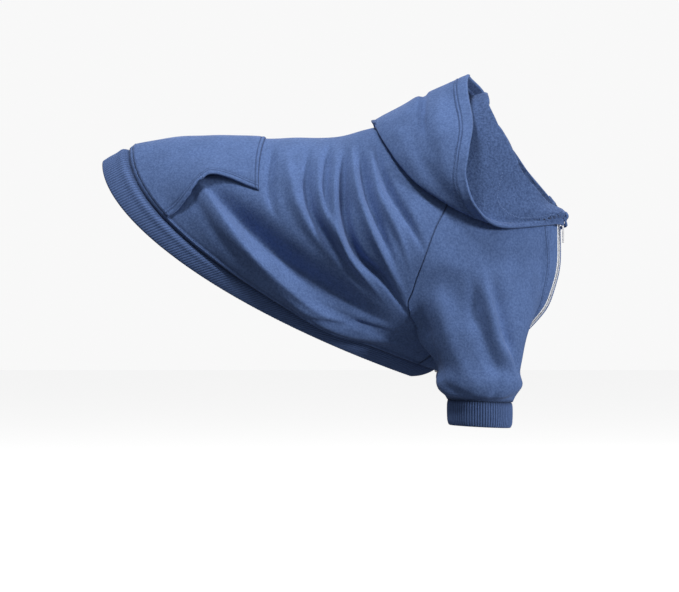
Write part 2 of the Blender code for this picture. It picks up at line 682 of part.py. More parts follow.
def add_slider(frame, pivot_height):
    """The slider body with two ears and the pin that carries the pull."""
    base = ZIP_CHAIN_PROUD + ZIP_CLEARANCE
    slider = box("zip_slider", (SLIDER_HEIGHT, SLIDER_WIDTH, SLIDER_LENGTH),
                 (base + SLIDER_HEIGHT / 2, 0, 0), SLIDER_EDGE)
    ear_height = pivot_height + PULL_BARREL_RADIUS - base - SLIDER_HEIGHT / 2
    ear_middle = pivot_height + PULL_BARREL_RADIUS - ear_height / 2
    apart = PULL_BARREL_LENGTH / 2 + PULL_RUNNING_GAP + EAR_WALL / 2
    for side in (-1, 1):
        ear = box(f"ear_{side + 2}", (ear_height, EAR_WALL, EAR_LENGTH), (ear_middle, side * apart, 0))
        joined(slider, ear, "UNION")
    pin = rod("slider_pin", PIN_RADIUS, 2 * apart)
    pin.data.transform(Matrix.Translation((pivot_height, 0, 0)))
    joined(slider, pin, "UNION")
    move_to("dog_hoodie", slider)
    slider.data.materials.append(named_material("zip_enamel", ENAMEL_WHITE, ENAMEL_ROUGHNESS))
    slider.parent = bpy.data.objects["withers"]
    slider.matrix_world = frame
    return slider


def add_pull(pivot, across):
    """The pull tab, which hangs from the slider's pin and turns on it."""
    pull = rod("zip_pull", PULL_BARREL_RADIUS, PULL_BARREL_LENGTH)
    neck = box("pull_neck", (PULL_THICKNESS, PULL_BARREL_LENGTH, PULL_NECK_LENGTH),
               (0, 0, -PULL_RUNNING_GAP - PIN_RADIUS - PULL_NECK_LENGTH / 2))
    top = PULL_NECK_LENGTH - PULL_THICKNESS
    tab = box("pull_tab", (PULL_THICKNESS, PULL_WIDTH, PULL_LENGTH - top),
              (0, 0, -(PULL_LENGTH + top) / 2), PULL_EDGE)
    joined(pull, neck, "UNION")
    joined(pull, tab, "UNION")
    joined(pull, rod("pull_eye", PIN_RADIUS + PULL_RUNNING_GAP, 2 * PULL_BARREL_LENGTH), "DIFFERENCE")
    move_to("dog_hoodie", pull)
    pull.data.materials.append(named_material("zip_enamel", ENAMEL_WHITE, ENAMEL_ROUGHNESS))
    pull.parent = bpy.data.objects["withers"]
    turned = math.atan2(-across[0], across[1])
    pull.matrix_world = Matrix.Translation(pivot) @ Matrix.Rotation(turned, 4, "Z")
    return pull


def add_zip():
    white = named_material("zip_tape", ZIP_WHITE, 0.8)
    teeth = named_material("zip_teeth", ZIP_WHITE, 0.4)
    half = ZIP_CHAIN_WIDTH / 2
    gap = ZIP_CLEARANCE / 2
    wide = half + ZIP_TAPE_WIDTH
    zip_strip("zip_tape_right", -wide + gap, -half - gap, -ZIP_TAPE_SUNK, ZIP_TAPE, white)
    zip_strip("zip_tape_left", half + gap, wide - gap, -ZIP_TAPE_SUNK, ZIP_TAPE, white)
    zip_strip("zip_chain", -half + gap, half - gap, ZIP_CHAIN_PROUD, ZIP_CHAIN, teeth)
    centre, out, across, up = slider_frame()
    pivot_height = ZIP_CHAIN_PROUD + ZIP_CLEARANCE + SLIDER_HEIGHT + PULL_BARREL_RADIUS + PULL_RUNNING_GAP
    add_slider(frame_matrix(centre, out, across, up), pivot_height)
    add_pull(centre + out * pivot_height, across)


def build():
    for old in list(bpy.data.objects):
        bpy.data.objects.remove(old)
    for name in ("dog_hoodie", "dog_hoodie_cutters"):
        bpy.context.scene.collection.children.link(bpy.data.collections.new(name))
    origin = bpy.data.objects.new("withers", None)
    bpy.data.collections["dog_hoodie"].objects.link(origin)
    add_body()
    add_hem_rib()
    for side in (-1, 1):
        add_chest_panel(side)
        add_sleeve(side)
        add_cuff(side)
    add_hood()
    add_pocket()
    add_zip()


build()
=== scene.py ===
import math

import bpy
import numpy as np
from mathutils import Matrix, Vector


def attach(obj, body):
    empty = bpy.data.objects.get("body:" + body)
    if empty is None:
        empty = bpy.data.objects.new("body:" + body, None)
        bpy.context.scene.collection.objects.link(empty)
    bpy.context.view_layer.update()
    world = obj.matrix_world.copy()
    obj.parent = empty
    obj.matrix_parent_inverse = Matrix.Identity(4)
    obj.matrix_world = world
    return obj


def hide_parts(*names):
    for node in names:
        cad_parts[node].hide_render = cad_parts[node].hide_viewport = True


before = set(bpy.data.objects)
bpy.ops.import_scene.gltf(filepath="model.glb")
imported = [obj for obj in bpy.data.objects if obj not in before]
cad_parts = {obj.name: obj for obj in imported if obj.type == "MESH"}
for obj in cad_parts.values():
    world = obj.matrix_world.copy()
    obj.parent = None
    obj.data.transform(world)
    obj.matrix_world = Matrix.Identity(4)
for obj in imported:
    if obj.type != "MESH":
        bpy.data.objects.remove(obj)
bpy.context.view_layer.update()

print("stage: frame loaded")

# The garment's main sizes, the same as those of the part.
garment = {
    "length": 0.782,
    "depth": 0.425,
    "halfWidth": 0.150,
    "fleece": 0.0025,
    "armpitPlace": 0.28,
    "hemBellySeam": 0.850,
    "zipShift": 0.020,
    "zipShiftFrom": 0.30,
    "zipShiftOver": 0.40,
    "zipSway": 0.006,
    "zipSwayFrom": 0.35,
    "zipSwayOver": 0.25,
    "zipSwayFade": 0.10,
    "zipSwayEnd": 0.99,
    "zipOpen": 0.0072,
    "zipChainWidth": 0.0055,
    "zipTapeWidth": 0.0075,
    "seamDip": 0.0016,
    "seamWidth": 0.0019,
    "foldDepth": 1.32,
}

# Rings round the body: place, back x and z, belly x and z, half width, bow, high point.
bodyRings = np.array([
    (0.00, -0.554, -0.088, 0.113, -0.988, 0.810, 0.250, 0.20),
    (0.13, -0.472, -0.068, 0.154, -0.976, 0.880, 0.235, 0.18),
    (0.26, -0.385, -0.058, 0.198, -0.948, 0.945, 0.220, 0.16),
    (0.39, -0.293, -0.054, 0.241, -0.912, 0.985, 0.205, 0.13),
    (0.52, -0.200, -0.052, 0.285, -0.864, 1.000, 0.190, 0.10),
    (0.65, -0.111, -0.048, 0.330, -0.784, 0.975, 0.175, 0.07),
    (0.77, -0.050, -0.022, 0.363, -0.692, 0.900, 0.155, 0.04),
    (0.88, 0.000, 0.000, 0.380, -0.564, 0.780, 0.135, 0.02),
    (1.00, 0.030, 0.018, 0.3815, -0.376, 0.660, 0.120, 0.00),
])

raglanSeam = np.array([
    (0.28, 0.780), (0.31, 0.700), (0.375, 0.640), (0.482, 0.592), (0.566, 0.556),
    (0.651, 0.520), (0.744, 0.487), (0.863, 0.460), (1.00, 0.440),
])
frontSeam = np.array([
    (0.28, 0.780), (0.32, 0.850), (0.40, 0.890), (0.50, 0.910), (0.60, 0.910),
    (0.68, 0.895), (0.75, 0.868), (0.833, 0.840), (0.90, 0.820), (1.00, 0.795),
])

# Folds in side view, in millimetres: the width on the upper or front side, the width on the other
# side, the height, and the points (x, z) of the line. A valley has a height below 0.
bodyFolds = {
    "shelfRidge": (8, 42, 14, ((-318, -92), (-297, -118), (-274, -152), (-232, -205), (-188, -249),
        (-149, -282), (-108, -311), (-63, -332), (-19, -352), (40, -376))),
    "shelfShade": (34, 9, -17, ((-310, -92), (-285, -118), (-255, -152), (-212, -198), (-168, -238),
        (-123, -271), (-77, -297), (-27, -321), (36, -343))),
    "hemValley": (10, 12, -4, ((-325, -112), (-310, -140), (-285, -180), (-255, -212), (-215, -244),
        (-170, -278))),
    "lowRidge": (9, 10, 5, ((-190, -268), (-150, -298), (-113, -321), (-67, -345), (1, -362), (66, -384))),
    "lowCrease": (4, 5, -4, ((-150, -305), (-123, -316), (-93, -324), (-40, -334), (48, -360))),
    "pocketValley": (8, 9, -6, ((-186, -20), (-190, -50), (-192, -90), (-190, -130), (-178, -168))),
    "pocketRidge": (10, 12, 6, ((-168, -25), (-163, -70), (-153, -118), (-138, -152), (-116, -190),
        (-80, -240))),
    "flankValleyOne": (8, 8, -9, ((-128, -18), (-131, -60), (-131, -110), (-122, -153), (-97, -195),
        (-69, -236), (-24, -296))),
    "flankRidgeOne": (8, 8, 6, ((-110, -22), (-112, -70), (-110, -120), (-100, -155), (-76, -195),
        (-50, -238), (5, -300))),
    "flankValleyTwo": (6, 6, -6, ((-94, -15), (-98, -60), (-102, -105), (-100, -150))),
    "flankRidgeTwo": (7, 9, 7, ((-80, -20), (-84, -80), (-85, -130), (-81, -172), (-67, -215), (-38, -256),
        (14, -316))),
    "shoulderValley": (8, 8, -14, ((-66, -15), (-69, -60), (-71, -110), (-69, -150), (-61, -190),
        (-44, -224), (-8, -258), (20, -296), (48, -336))),
    "shoulderRidge": (8, 9, 9, ((-56, -12), (-54, -70), (-48, -115), (-38, -148), (-22, -188), (4, -240),
        (42, -306))),
    "strapValley": (8, 7, -8, ((-43, -12), (-41, -60), (-34, -110), (-22, -148), (-4, -195), (22, -252))),
    "strapRidge": (8, 8, 5, ((-28, -10), (-22, -70), (-12, -118), (0, -145), (24, -195), (44, -262))),
    "hoodValley": (9, 8, -8, ((-17, -10), (-10, -70), (8, -118), (24, -145), (46, -182), (68, -226))),
    "bellyPleat": (6, 6, -3, ((-75, -345), (-45, -372), (-25, -390), (6, -422))),
}


def eased(stations, values, at):
    # Smooth curve through a table of numbers or of stacked rows of points: cubic pieces whose slopes
    # are those of np.gradient.
    stations, values, at = (np.asarray(each, float) for each in (stations, values, at))
    slopes = np.gradient(values, stations, axis=0)
    piece = np.clip(np.searchsorted(stations, at, side="right") - 1, 0, len(stations) - 2)
    step = stations[piece + 1] - stations[piece]
    t = (at - stations[piece]) / step
    if values.ndim > 1:
        spread = (-1,) + (1,) * (values.ndim - 1)
        t, step = t.reshape(spread), step.reshape(spread)
    return (
        (2 * t**3 - 3 * t**2 + 1) * values[piece]
        + (t**3 - 2 * t**2 + t) * step * slopes[piece]
        + (3 * t**2 - 2 * t**3) * values[piece + 1]
        + (t**3 - t**2) * step * slopes[piece + 1]
    )


def unit(vectors):
    return vectors / np.maximum(np.linalg.norm(vectors, axis=-1, keepdims=True), 1e-12)


def smooth(x):
    x = np.clip(x, 0, 1)
    return x * x * (3 - 2 * x)


def ringPoints(backX, backZ, bellyX, bellyZ, halfWidth, bow, high, turn):
    # From the back to the belly by the cosine of the turn, bowed off the straight line between them;
    # the width follows the sine of the turn.
    share = (1 - np.cos(turn)) / 2
    runX = (bellyX - backX) * garment["length"]
    runZ = (bellyZ - backZ) * garment["depth"]
    run = np.hypot(runX, runZ)
    bulge = bow * garment["length"] * share * (1 - share) / np.sqrt(share + 0.05)
    x = backX * garment["length"] + share * runX + bulge * runZ / run
    z = backZ * garment["depth"] + share * runZ - bulge * runX / run
    y = -halfWidth * garment["halfWidth"] * np.sin(turn) * (1 + high * np.cos(turn))
    return np.stack(np.broadcast_arrays(x, y, z + garment["fleece"]), -1)


def plainTorso(place, turn):
    place, turn = np.broadcast_arrays(np.asarray(place, float), np.asarray(turn, float))
    sizes = [eased(bodyRings[:, 0], bodyRings[:, k], place) for k in range(1, 8)]
    return ringPoints(*sizes, turn)


def outward(surface, place, turn, step=1e-4):
    # Unit normals of a body surface, from differences along its two parameters.
    along = surface(place + step, turn) - surface(place - step, turn)
    roundRing = surface(place, turn + step) - surface(place, turn - step)
    return unit(np.cross(roundRing, along))


def foldHeight(points, folds, samples=140):
    # Sum of the folds at points in side view. Each fold is a smooth line; its height falls off with the
    # distance from the line as a bell, of one width above it and another below, and its ends run out
    # to a point.
    flat = points.reshape(-1, 3)
    x, z = flat[:, 0] * 1000, flat[:, 2] * 1000
    height = np.zeros(len(x))
    for above, below, top, line in folds.values():
        line = np.array(line, float)
        reach = 3 * max(above, below)
        low, high = line.min(0) - reach, line.max(0) + reach
        near = np.flatnonzero((x > low[0]) & (x < high[0]) & (z > low[1]) & (z < high[1]))
        if not len(near):
            continue
        knots = np.linspace(0, 1, len(line))
        t = np.linspace(0, 1, samples)
        lineX, lineZ = eased(knots, line[:, 0], t), eased(knots, line[:, 1], t)
        stepX, stepZ = np.gradient(lineX), np.gradient(lineZ)
        speed = np.hypot(stepX, stepZ)
        nx, nz = x[near], z[near]
        nearest = ((nx[:, None] - lineX) ** 2 + (nz[:, None] - lineZ) ** 2).argmin(-1)
        dx, dz = nx - lineX[nearest], nz - lineZ[nearest]
        tx, tz = (stepX / speed)[nearest], (stepZ / speed)[nearest]
        along = t[nearest] + (dx * tx + dz * tz) / (speed[nearest] * (samples - 1))
        side = dz * tx - dx * tz
        fade = smooth(np.minimum(along, 1 - along) / 0.34)
        width = np.where(side > 0, above, below) * (0.40 + 0.50 * fade)
        height[near] += top * fade * np.exp(-((side / width) ** 2))
    return height.reshape(points.shape[:-1]) / 1000


def ripple(points, scale, seed, waves=14):
    # Soft unevenness of worn cloth: a sum of waves in seeded directions, about -1 to 1.
    source = np.random.default_rng(seed)
    direction = unit(source.normal(size=(waves, 3)))
    size = scale * source.uniform(0.7, 1.6, waves)
    start = source.uniform(0, 2 * math.pi, waves)
    phase = points @ (direction / size[:, None]).T * 2 * math.pi + start
    return np.sin(phase).sum(-1) / math.sqrt(waves) * 0.8


def torso(place, turn):
    place, turn = np.broadcast_arrays(np.asarray(place, float), np.asarray(turn, float))
    points = plainTorso(place, turn)
    calm = smooth(np.abs(np.sin(turn)) * 1.8) * smooth((1.0 - place) / 0.12)
    lift = foldHeight(points, bodyFolds) * garment["foldDepth"] * calm + 0.0010 * ripple(points, 0.075, 4)
    return points + outward(plainTorso, place, turn) * lift[..., None]


def seamTurn(seam, place):
    return eased(seam[:, 0], seam[:, 1], place) * math.pi


def bellyTurn(place):
    low = garment["hemBellySeam"]
    return (low + (raglanSeam[0, 1] - low) * place / garment["armpitPlace"]) * math.pi


def backEdge(place):
    armpit = garment["armpitPlace"]
    return np.where(place < armpit, bellyTurn(place), seamTurn(raglanSeam, np.maximum(place, armpit)))


def chestEdge(place):
    armpit = garment["armpitPlace"]
    return np.where(place < armpit, bellyTurn(place), seamTurn(frontSeam, np.maximum(place, armpit)))


def zipTurn(place, aside=0.0):
    # The turn of the zip's centre line, or of a line this far from it towards the left side. The zip
    # runs along the belly's middle and turns towards the right side up the chest.
    step = 1e-3
    run = plainTorso(place, math.pi + step) - plainTorso(place, math.pi - step)
    place = np.asarray(place, float)
    shift = garment["zipShift"] * smooth((place - garment["zipShiftFrom"]) / garment["zipShiftOver"])
    sway = garment["zipSway"] * smooth((place - garment["zipSwayFrom"]) / garment["zipSwayOver"])
    shift = shift + sway * smooth((garment["zipSwayEnd"] - place) / garment["zipSwayFade"])
    return math.pi + (aside - shift) * 2 * step / np.linalg.norm(run, axis=-1)


def crowded(count, length, near=(0.0, 0.0007, 0.0014, 0.0021, 0.0028, 0.0036, 0.0044, 0.0053, 0.0063, 0.0074,
                                  0.0087, 0.0102, 0.012, 0.0145)):
    # Shares from 0 to 1 of a length, evenly spaced in the middle and close together near its ends.
    near = np.array(near) / length
    return np.concatenate([near[:-1], np.linspace(near[-1], 1 - near[-1], count), 1 - near[-2::-1]])


def gridNormals(grid, closed=False):
    if closed:
        across = np.roll(grid, -1, 1) - np.roll(grid, 1, 1)
    else:
        across = np.gradient(grid, axis=1)
    along = np.gradient(grid, axis=0)
    return unit(np.cross(across, along))


def arcs(grid, axis):
    # Length run along one axis of a grid, from its first line, in metres.
    step = np.linalg.norm(np.diff(grid, axis=axis), axis=-1)
    start = np.zeros_like(np.take(step, [0], axis=axis))
    return np.cumsum(np.concatenate([start, step], axis=axis), axis=axis)


def edgeDistances(grid):
    rows, columns = arcs(grid, 0), arcs(grid, 1)
    return rows, rows[-1:] - rows, columns, columns[:, -1:] - columns


def bell(distance, at, width):
    return np.exp(-(((distance - at) / width) ** 2))


def seamed(distance):
    return -garment["seamDip"] * bell(distance, 0, garment["seamWidth"])


def sided(name, side, right="Right", left="Left"):
    return name + (right if side < 0 else left)


def sidedNode(name, side):
    return sided(name, side, "_right", "_left")


def sampled(at, run, rows):
    # The rows of a line, read at these lengths along it.
    return np.stack([np.interp(at, run, rows[:, k]) for k in range(3)], -1)


def sixSided(count, rings):
    # Quads of many small six-sided bars of a few rings each, with two end quads on each end.
    index = np.arange(count * rings * 6).reshape(count, rings, 6)
    ring = np.concatenate([index, index[:, :, :1]], 2)
    sides = np.stack([ring[:, :-1, :-1], ring[:, :-1, 1:], ring[:, 1:, 1:], ring[:, 1:, :-1]], -1)
    first, last = index[:, 0], index[:, -1]
    caps = [first[:, [3, 2, 1, 0]], first[:, [5, 4, 3, 0]], last[:, [0, 1, 2, 3]], last[:, [0, 3, 4, 5]]]
    return np.concatenate([sides.reshape(-1, 4), *caps])


def link(piece, body="garment"):
    bpy.context.scene.collection.objects.link(piece)
    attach(piece, body)
    return piece


def meshFrom(name, points, faces, uv=None, materialIndex=None, hollow=None):
    # points N x 3, faces M x 4, uv M x 4 x 2
    mesh = bpy.data.meshes.new(name)
    mesh.vertices.add(len(points))
    mesh.vertices.foreach_set("co", np.asarray(points, np.float32).ravel())
    mesh.loops.add(len(faces) * 4)
    mesh.polygons.add(len(faces))
    mesh.loops.foreach_set("vertex_index", np.asarray(faces, np.int32).ravel())
    mesh.polygons.foreach_set("loop_start", np.arange(len(faces), dtype=np.int32) * 4)
    mesh.update(calc_edges=True)
    if uv is not None:
        mesh.uv_layers.new(name="cloth").data.foreach_set("uv", np.asarray(uv, np.float32).ravel())
    if hollow is not None:
        mesh.attributes.new("hollow", "FLOAT", "POINT").data.foreach_set("value", hollow.astype(np.float32))
    if materialIndex is not None:
        mesh.polygons.foreach_set("material_index", np.asarray(materialIndex, np.int32))
    mesh.shade_smooth()
    mesh.validate()
    return bpy.data.objects.new(name, mesh)


def quads(index):
    return np.stack([index[:-1, :-1], index[:-1, 1:], index[1:, 1:], index[1:, :-1]], -1).reshape(-1, 4)


def cloth(name, outer, thickness, materials, hollow=None, closed=False, rim=0.35):
    # A closed sheet of cloth: the outer grid, the same grid set in along its normals, and a rounded
    # rim that bulges by a share of the thickness between them. Its UV map is in metres of cloth.
    rows, columns = outer.shape[:2]
    normal = gridNormals(outer, closed)
    thickness = np.broadcast_to(thickness, outer.shape[:2])[..., None]
    inner = outer - normal * thickness
    middle = outer - normal * thickness / 2
    index = np.arange(rows * columns).reshape(rows, columns)
    count = rows * columns
    u, v = arcs(outer, 1), arcs(outer, 0)
    if closed:
        index = np.hstack([index, index[:, :1]])
        last = np.linalg.norm(outer[:, :1] - outer[:, -1:], axis=-1)
        u = np.hstack([u, u[:, -1:] + last])
        v = np.hstack([v, v[:, :1]])
    uvGrid = np.stack([u, v], -1)
    outerFaces = quads(index)
    innerFaces = quads(index + count)[:, ::-1]
    faceUv = np.stack([uvGrid[:-1, :-1], uvGrid[:-1, 1:], uvGrid[1:, 1:], uvGrid[1:, :-1]], -2)
    faceUv = faceUv.reshape(-1, 4, 2)
    points = [outer.reshape(-1, 3), inner.reshape(-1, 3)]
    faces = [outerFaces, innerFaces]
    uvs = [faceUv, faceUv[:, ::-1]]
    kinds = [np.zeros(len(outerFaces), int), np.ones(len(innerFaces), int)]
    edges = [(index[0], middle[0] - unit(middle[1] - middle[0]) * thickness[0] * rim, uvGrid[0], False),
             (index[-1], middle[-1] - unit(middle[-2] - middle[-1]) * thickness[-1] * rim, uvGrid[-1], True)]
    offset = 2 * count
    rings = []

    def addRim(strips, stripUv, turned):
        for strip in strips:
            faces.append(strip[:, ::-1] if turned else strip)
            uvs.append(stripUv[:, ::-1] if turned else stripUv)
            kinds.append(np.zeros(len(strip), int))

    for line, bulge, lineUv, turned in edges:
        size = len(bulge)
        ids = offset + np.arange(size)
        if closed:
            ids = np.append(ids, ids[0])
        points.append(bulge)
        rings.append(ids)
        upper = np.stack([line[1:], line[:-1], ids[:-1], ids[1:]], -1)
        lower = np.stack([ids[1:], ids[:-1], line[:-1] + count, line[1:] + count], -1)
        rimUv = np.stack([lineUv[1:], lineUv[:-1], lineUv[:-1], lineUv[1:]], -2)
        addRim((upper, lower), rimUv, turned)
        offset += size
    if not closed:
        sides = [(index[:, 0], middle[:, 0] - unit(middle[:, 1] - middle[:, 0]) * thickness[:, 0] * rim,
                  uvGrid[:, 0], False, 0),
                 (index[:, -1], middle[:, -1] - unit(middle[:, -2] - middle[:, -1]) * thickness[:, -1] * rim,
                  uvGrid[:, -1], True, -1)]
        for line, bulge, lineUv, turned, end in sides:
            ids = offset + np.arange(len(bulge) - 2)
            ids = np.concatenate([[rings[0][end]], ids, [rings[1][end]]])
            points.append(bulge[1:-1])
            upper = np.stack([line[:-1], line[1:], ids[1:], ids[:-1]], -1)
            lower = np.stack([ids[:-1], ids[1:], line[1:] + count, line[:-1] + count], -1)
            rimUv = np.stack([lineUv[:-1], lineUv[1:], lineUv[1:], lineUv[:-1]], -2)
            addRim((upper, lower), rimUv, turned)
            offset += len(bulge) - 2
    points = np.concatenate(points)
    # The hollow mask for the painted shade is kept on the outer grid only.
    shade = np.zeros(len(points))
    shade[:count] = 0 if hollow is None else hollow.ravel()
    piece = meshFrom(name, points, np.concatenate(faces), np.concatenate(uvs), np.concatenate(kinds), shade)
    for material in materials:
        piece.data.materials.append(material)
    return link(piece)


def lineAt(grid, normal, distance, target, axis=0):
    # Points and normals of the line on a grid where a distance first passes its target.
    if axis == 1:
        grid, normal, distance = grid.transpose(1, 0, 2), normal.transpose(1, 0, 2), distance.T
    lower = np.clip((distance < target).sum(0) - 1, 0, len(grid) - 2)
    columns = np.arange(grid.shape[1])
    a, b = distance[lower, columns], distance[lower + 1, columns]
    share = np.clip((target - a) / np.maximum(b - a, 1e-9), 0, 1)[:, None]
    return (
        grid[lower, columns] * (1 - share) + grid[lower + 1, columns] * share,
        unit(normal[lower, columns] * (1 - share) + normal[lower + 1, columns] * share),
    )


stitch = {"pitch": 0.0036, "length": 0.0030, "radius": 0.00042, "sunk": 0.00005}


def stitchMesh(path, normal, pitch=None, across=0.0):
    # Small lozenges of thread along a path, laid on the surface; across turns them in turn to both
    # sides for a zigzag. Returns points and quads.
    pitch = pitch or stitch["pitch"]
    run = arcs(path[:, None], 0)[:, 0]
    count = max(int(run[-1] / pitch), 2)
    at = (np.arange(count) + 0.5) / count * run[-1]
    centre = sampled(at, run, path)
    up = unit(sampled(at, run, normal))
    tangent = np.stack([np.gradient(path[:, k], run + np.arange(len(run)) * 1e-9) for k in range(3)], -1)
    along = unit(sampled(at, run, tangent))
    aside = unit(np.cross(up, along))
    sign = np.where(np.arange(count) % 2, 1.0, -1.0)[:, None]
    heading = unit(along + aside * across * sign)
    aside = unit(np.cross(up, heading))
    half = stitch["length"] / 2 * pitch / stitch["pitch"]
    radius = stitch["radius"]
    ends = np.array([-1.0, -0.75, 0.0, 0.75, 1.0])
    thick = np.array([0.25, 0.85, 1.0, 0.85, 0.25])
    drop = np.array([-0.6, 0.1, 0.35, 0.1, -0.6]) * radius
    angle = np.arange(6) / 6 * 2 * math.pi
    ring = (
        centre[:, None, None]
        + heading[:, None, None] * (ends * half)[None, :, None, None]
        + up[:, None, None] * (drop[:, None] + radius * thick[:, None] * np.sin(angle))[None, :, :, None]
        + aside[:, None, None] * (radius * thick[:, None] * np.cos(angle))[None, :, :, None]
    )
    return ring.reshape(-1, 3), sixSided(count, len(ends))[:, ::-1]


def stitched(name, lines, material, body="garment"):
    # Several stitch lines joined in one mesh.
    points, faces, offset = [], [], 0
    for line in lines:
        some, four = stitchMesh(*line)
        points.append(some)
        faces.append(four + offset)
        offset += len(some)
    piece = meshFrom(name, np.concatenate(points), np.concatenate(faces))
    piece.data.materials.append(material)
    return link(piece, body)


# Materials. Shared effects are node groups; each material places them with its own values.
def newGroup(name, inputs, outputs):
    group = bpy.data.node_groups.new(name, "ShaderNodeTree")
    for kind, label, value in inputs:
        socket = group.interface.new_socket(label, in_out="INPUT", socket_type=kind)
        if value is not None:
            socket.default_value = value
    for kind, label in outputs:
        group.interface.new_socket(label, in_out="OUTPUT", socket_type=kind)
    return group, group.nodes.new("NodeGroupInput"), group.nodes.new("NodeGroupOutput")


def node(tree, kind, inputs=None, **settings):
    made = tree.nodes.new(kind)
    for key, value in settings.items():
        setattr(made, key, value)
    for key, value in (inputs or {}).items():
        if isinstance(value, bpy.types.NodeSocket):
            tree.links.new(value, made.inputs[key])
        else:
            made.inputs[key].default_value = value
    return made


def math_(tree, operation, *values):
    return node(tree, "ShaderNodeMath", dict(enumerate(values)), operation=operation).outputs[0]


def fleeceGroup():
    # Brushed knit: three noises of falling size mottle the colour and raise the nap.
    group, enter, leave = newGroup("fleeceFace", [
        ("NodeSocketColor", "Colour", (0.1, 0.2, 0.4, 1)),
        ("NodeSocketColor", "Shade", (0.05, 0.1, 0.2, 1)),
        ("NodeSocketFloat", "Nap Size", 0.0022),
        ("NodeSocketFloat", "Mottle", 0.5),
        ("NodeSocketFloat", "Wear", 0.3),
        ("NodeSocketFloat", "Hollow", 0.0),
    ], [("NodeSocketColor", "Colour"), ("NodeSocketFloat", "Height"), ("NodeSocketFloat", "Roughness")])
    place = node(group, "ShaderNodeTexCoord").outputs["Object"]
    scale = math_(group, "DIVIDE", 1.0, enter.outputs["Nap Size"])

    def noise(size, detail, roughness):
        return node(group, "ShaderNodeTexNoise", {
            "Vector": place, "Scale": size, "Detail": detail, "Roughness": roughness}).outputs["Fac"]

    def spread(value, low, high):
        return node(group, "ShaderNodeMapRange", {
            "Value": value, "From Min": low, "From Max": high}).outputs[0]

    coarse = noise(26.0, 3.0, 0.55)
    nap = noise(scale, 3.0, 0.6)
    fuzz = noise(math_(group, "MULTIPLY", scale, 3.1), 2.0, 0.6)
    napMask = spread(nap, 0.36, 0.64)
    wear = spread(coarse, 0.35, 0.7)
    mixed = math_(group, "ADD", math_(group, "MULTIPLY", napMask, 0.7),
                  math_(group, "MULTIPLY", fuzz, 0.3))
    shadeAmount = math_(group, "MULTIPLY", mixed, enter.outputs["Mottle"])
    # A colour Mix node has its factor as input 0, its two colours as inputs 6 and 7, and output 2.
    shaded = node(group, "ShaderNodeMix", {0: shadeAmount, 6: enter.outputs["Colour"],
                                           7: enter.outputs["Shade"]}, data_type="RGBA")
    change = math_(group, "MULTIPLY", math_(group, "SUBTRACT", wear, 0.5),
                   math_(group, "MULTIPLY", enter.outputs["Wear"], 0.3))
    worn = node(group, "ShaderNodeHueSaturation", {
        "Value": math_(group, "ADD", 1.0, change), "Color": shaded.outputs[2]})
    height = math_(group, "ADD", math_(group, "MULTIPLY", nap, 0.7),
                   math_(group, "MULTIPLY", fuzz, 0.3))
    # Painted shade: grooves of seams, stitches and ribs are darkened, darker the deeper the hollow.
    sunk = node(group, "ShaderNodeHueSaturation", {
        "Value": math_(group, "SUBTRACT", 1.0, math_(group, "MULTIPLY", enter.outputs["Hollow"], 0.60)),
        "Color": worn.outputs[0]})
    group.links.new(sunk.outputs[0], leave.inputs["Colour"])
    group.links.new(height, leave.inputs["Height"])
    rough = node(group, "ShaderNodeMapRange", {"Value": mixed, "To Min": 0.82, "To Max": 0.98})
    group.links.new(rough.outputs[0], leave.inputs["Roughness"])
    return group


fleeceFace = fleeceGroup()


def principled(name):
    material = bpy.data.materials.new(name)
    material.use_nodes = True
    return material, material.node_tree, material.node_tree.nodes["Principled BSDF"]


def clothMaterial(name, colour, shade, nap, mottle, wear, bump, sheen, depth):
    material, tree, shader = principled(name)
    group = node(tree, "ShaderNodeGroup", node_tree=fleeceFace)
    for label, value in (("Colour", (*colour, 1)), ("Shade", (*shade, 1)), ("Nap Size", nap),
                         ("Mottle", mottle), ("Wear", wear)):
        group.inputs[label].default_value = value
    # The hollow attribute drives the painted shade in grooves.
    hollow = node(tree, "ShaderNodeAttribute", attribute_name="hollow")
    tree.links.new(hollow.outputs["Fac"], group.inputs["Hollow"])
    relief = node(tree, "ShaderNodeBump", {
        "Strength": bump, "Distance": depth, "Height": group.outputs["Height"]})
    tree.links.new(group.outputs["Colour"], shader.inputs["Base Color"])
    tree.links.new(group.outputs["Roughness"], shader.inputs["Roughness"])
    tree.links.new(relief.outputs[0], shader.inputs["Normal"])
    shader.inputs["Specular IOR Level"].default_value = 0.15
    shader.inputs["Sheen Weight"].default_value = sheen
    shader.inputs["Sheen Roughness"].default_value = 0.45
    shader.inputs["Sheen Tint"].default_value = (0.75, 0.82, 1.0, 1)
    return material


blues = {
    "face": (0.124, 0.204, 0.432),
    "faceShade": (0.062, 0.110, 0.258),
    "lining": (0.100, 0.168, 0.362),
    "liningShade": (0.040, 0.072, 0.178),
    "rib": (0.116, 0.190, 0.412),
    "ribShade": (0.062, 0.108, 0.254),
    "thread": (0.078, 0.130, 0.296),
    "zigzag": (0.200, 0.300, 0.560),
}
# Columns: face colour, shade colour, nap size, mottle, wear, bump, sheen and relief depth.
clothLooks = {
    "fleeceBlue": ("face", "faceShade", 0.0035, 0.85, 0.45, 0.75, 0.12, 0.0010),
    "liningBlue": ("lining", "liningShade", 0.0036, 1.0, 0.4, 1.0, 0.16, 0.0016),
    "ribBlue": ("rib", "ribShade", 0.0026, 0.6, 0.3, 0.4, 0.10, 0.0006),
    "threadBlue": ("thread", "ribShade", 0.0008, 0.4, 0.0, 0.3, 0.1, 0.0002),
    "zigzagBlue": ("zigzag", "thread", 0.0008, 0.3, 0.0, 0.3, 0.1, 0.0002),
}
fleeceBlue, liningBlue, ribBlue, threadBlue, zigzagBlue = (
    clothMaterial(name, blues[face], blues[shade], *look)
    for name, (face, shade, *look) in clothLooks.items()
)


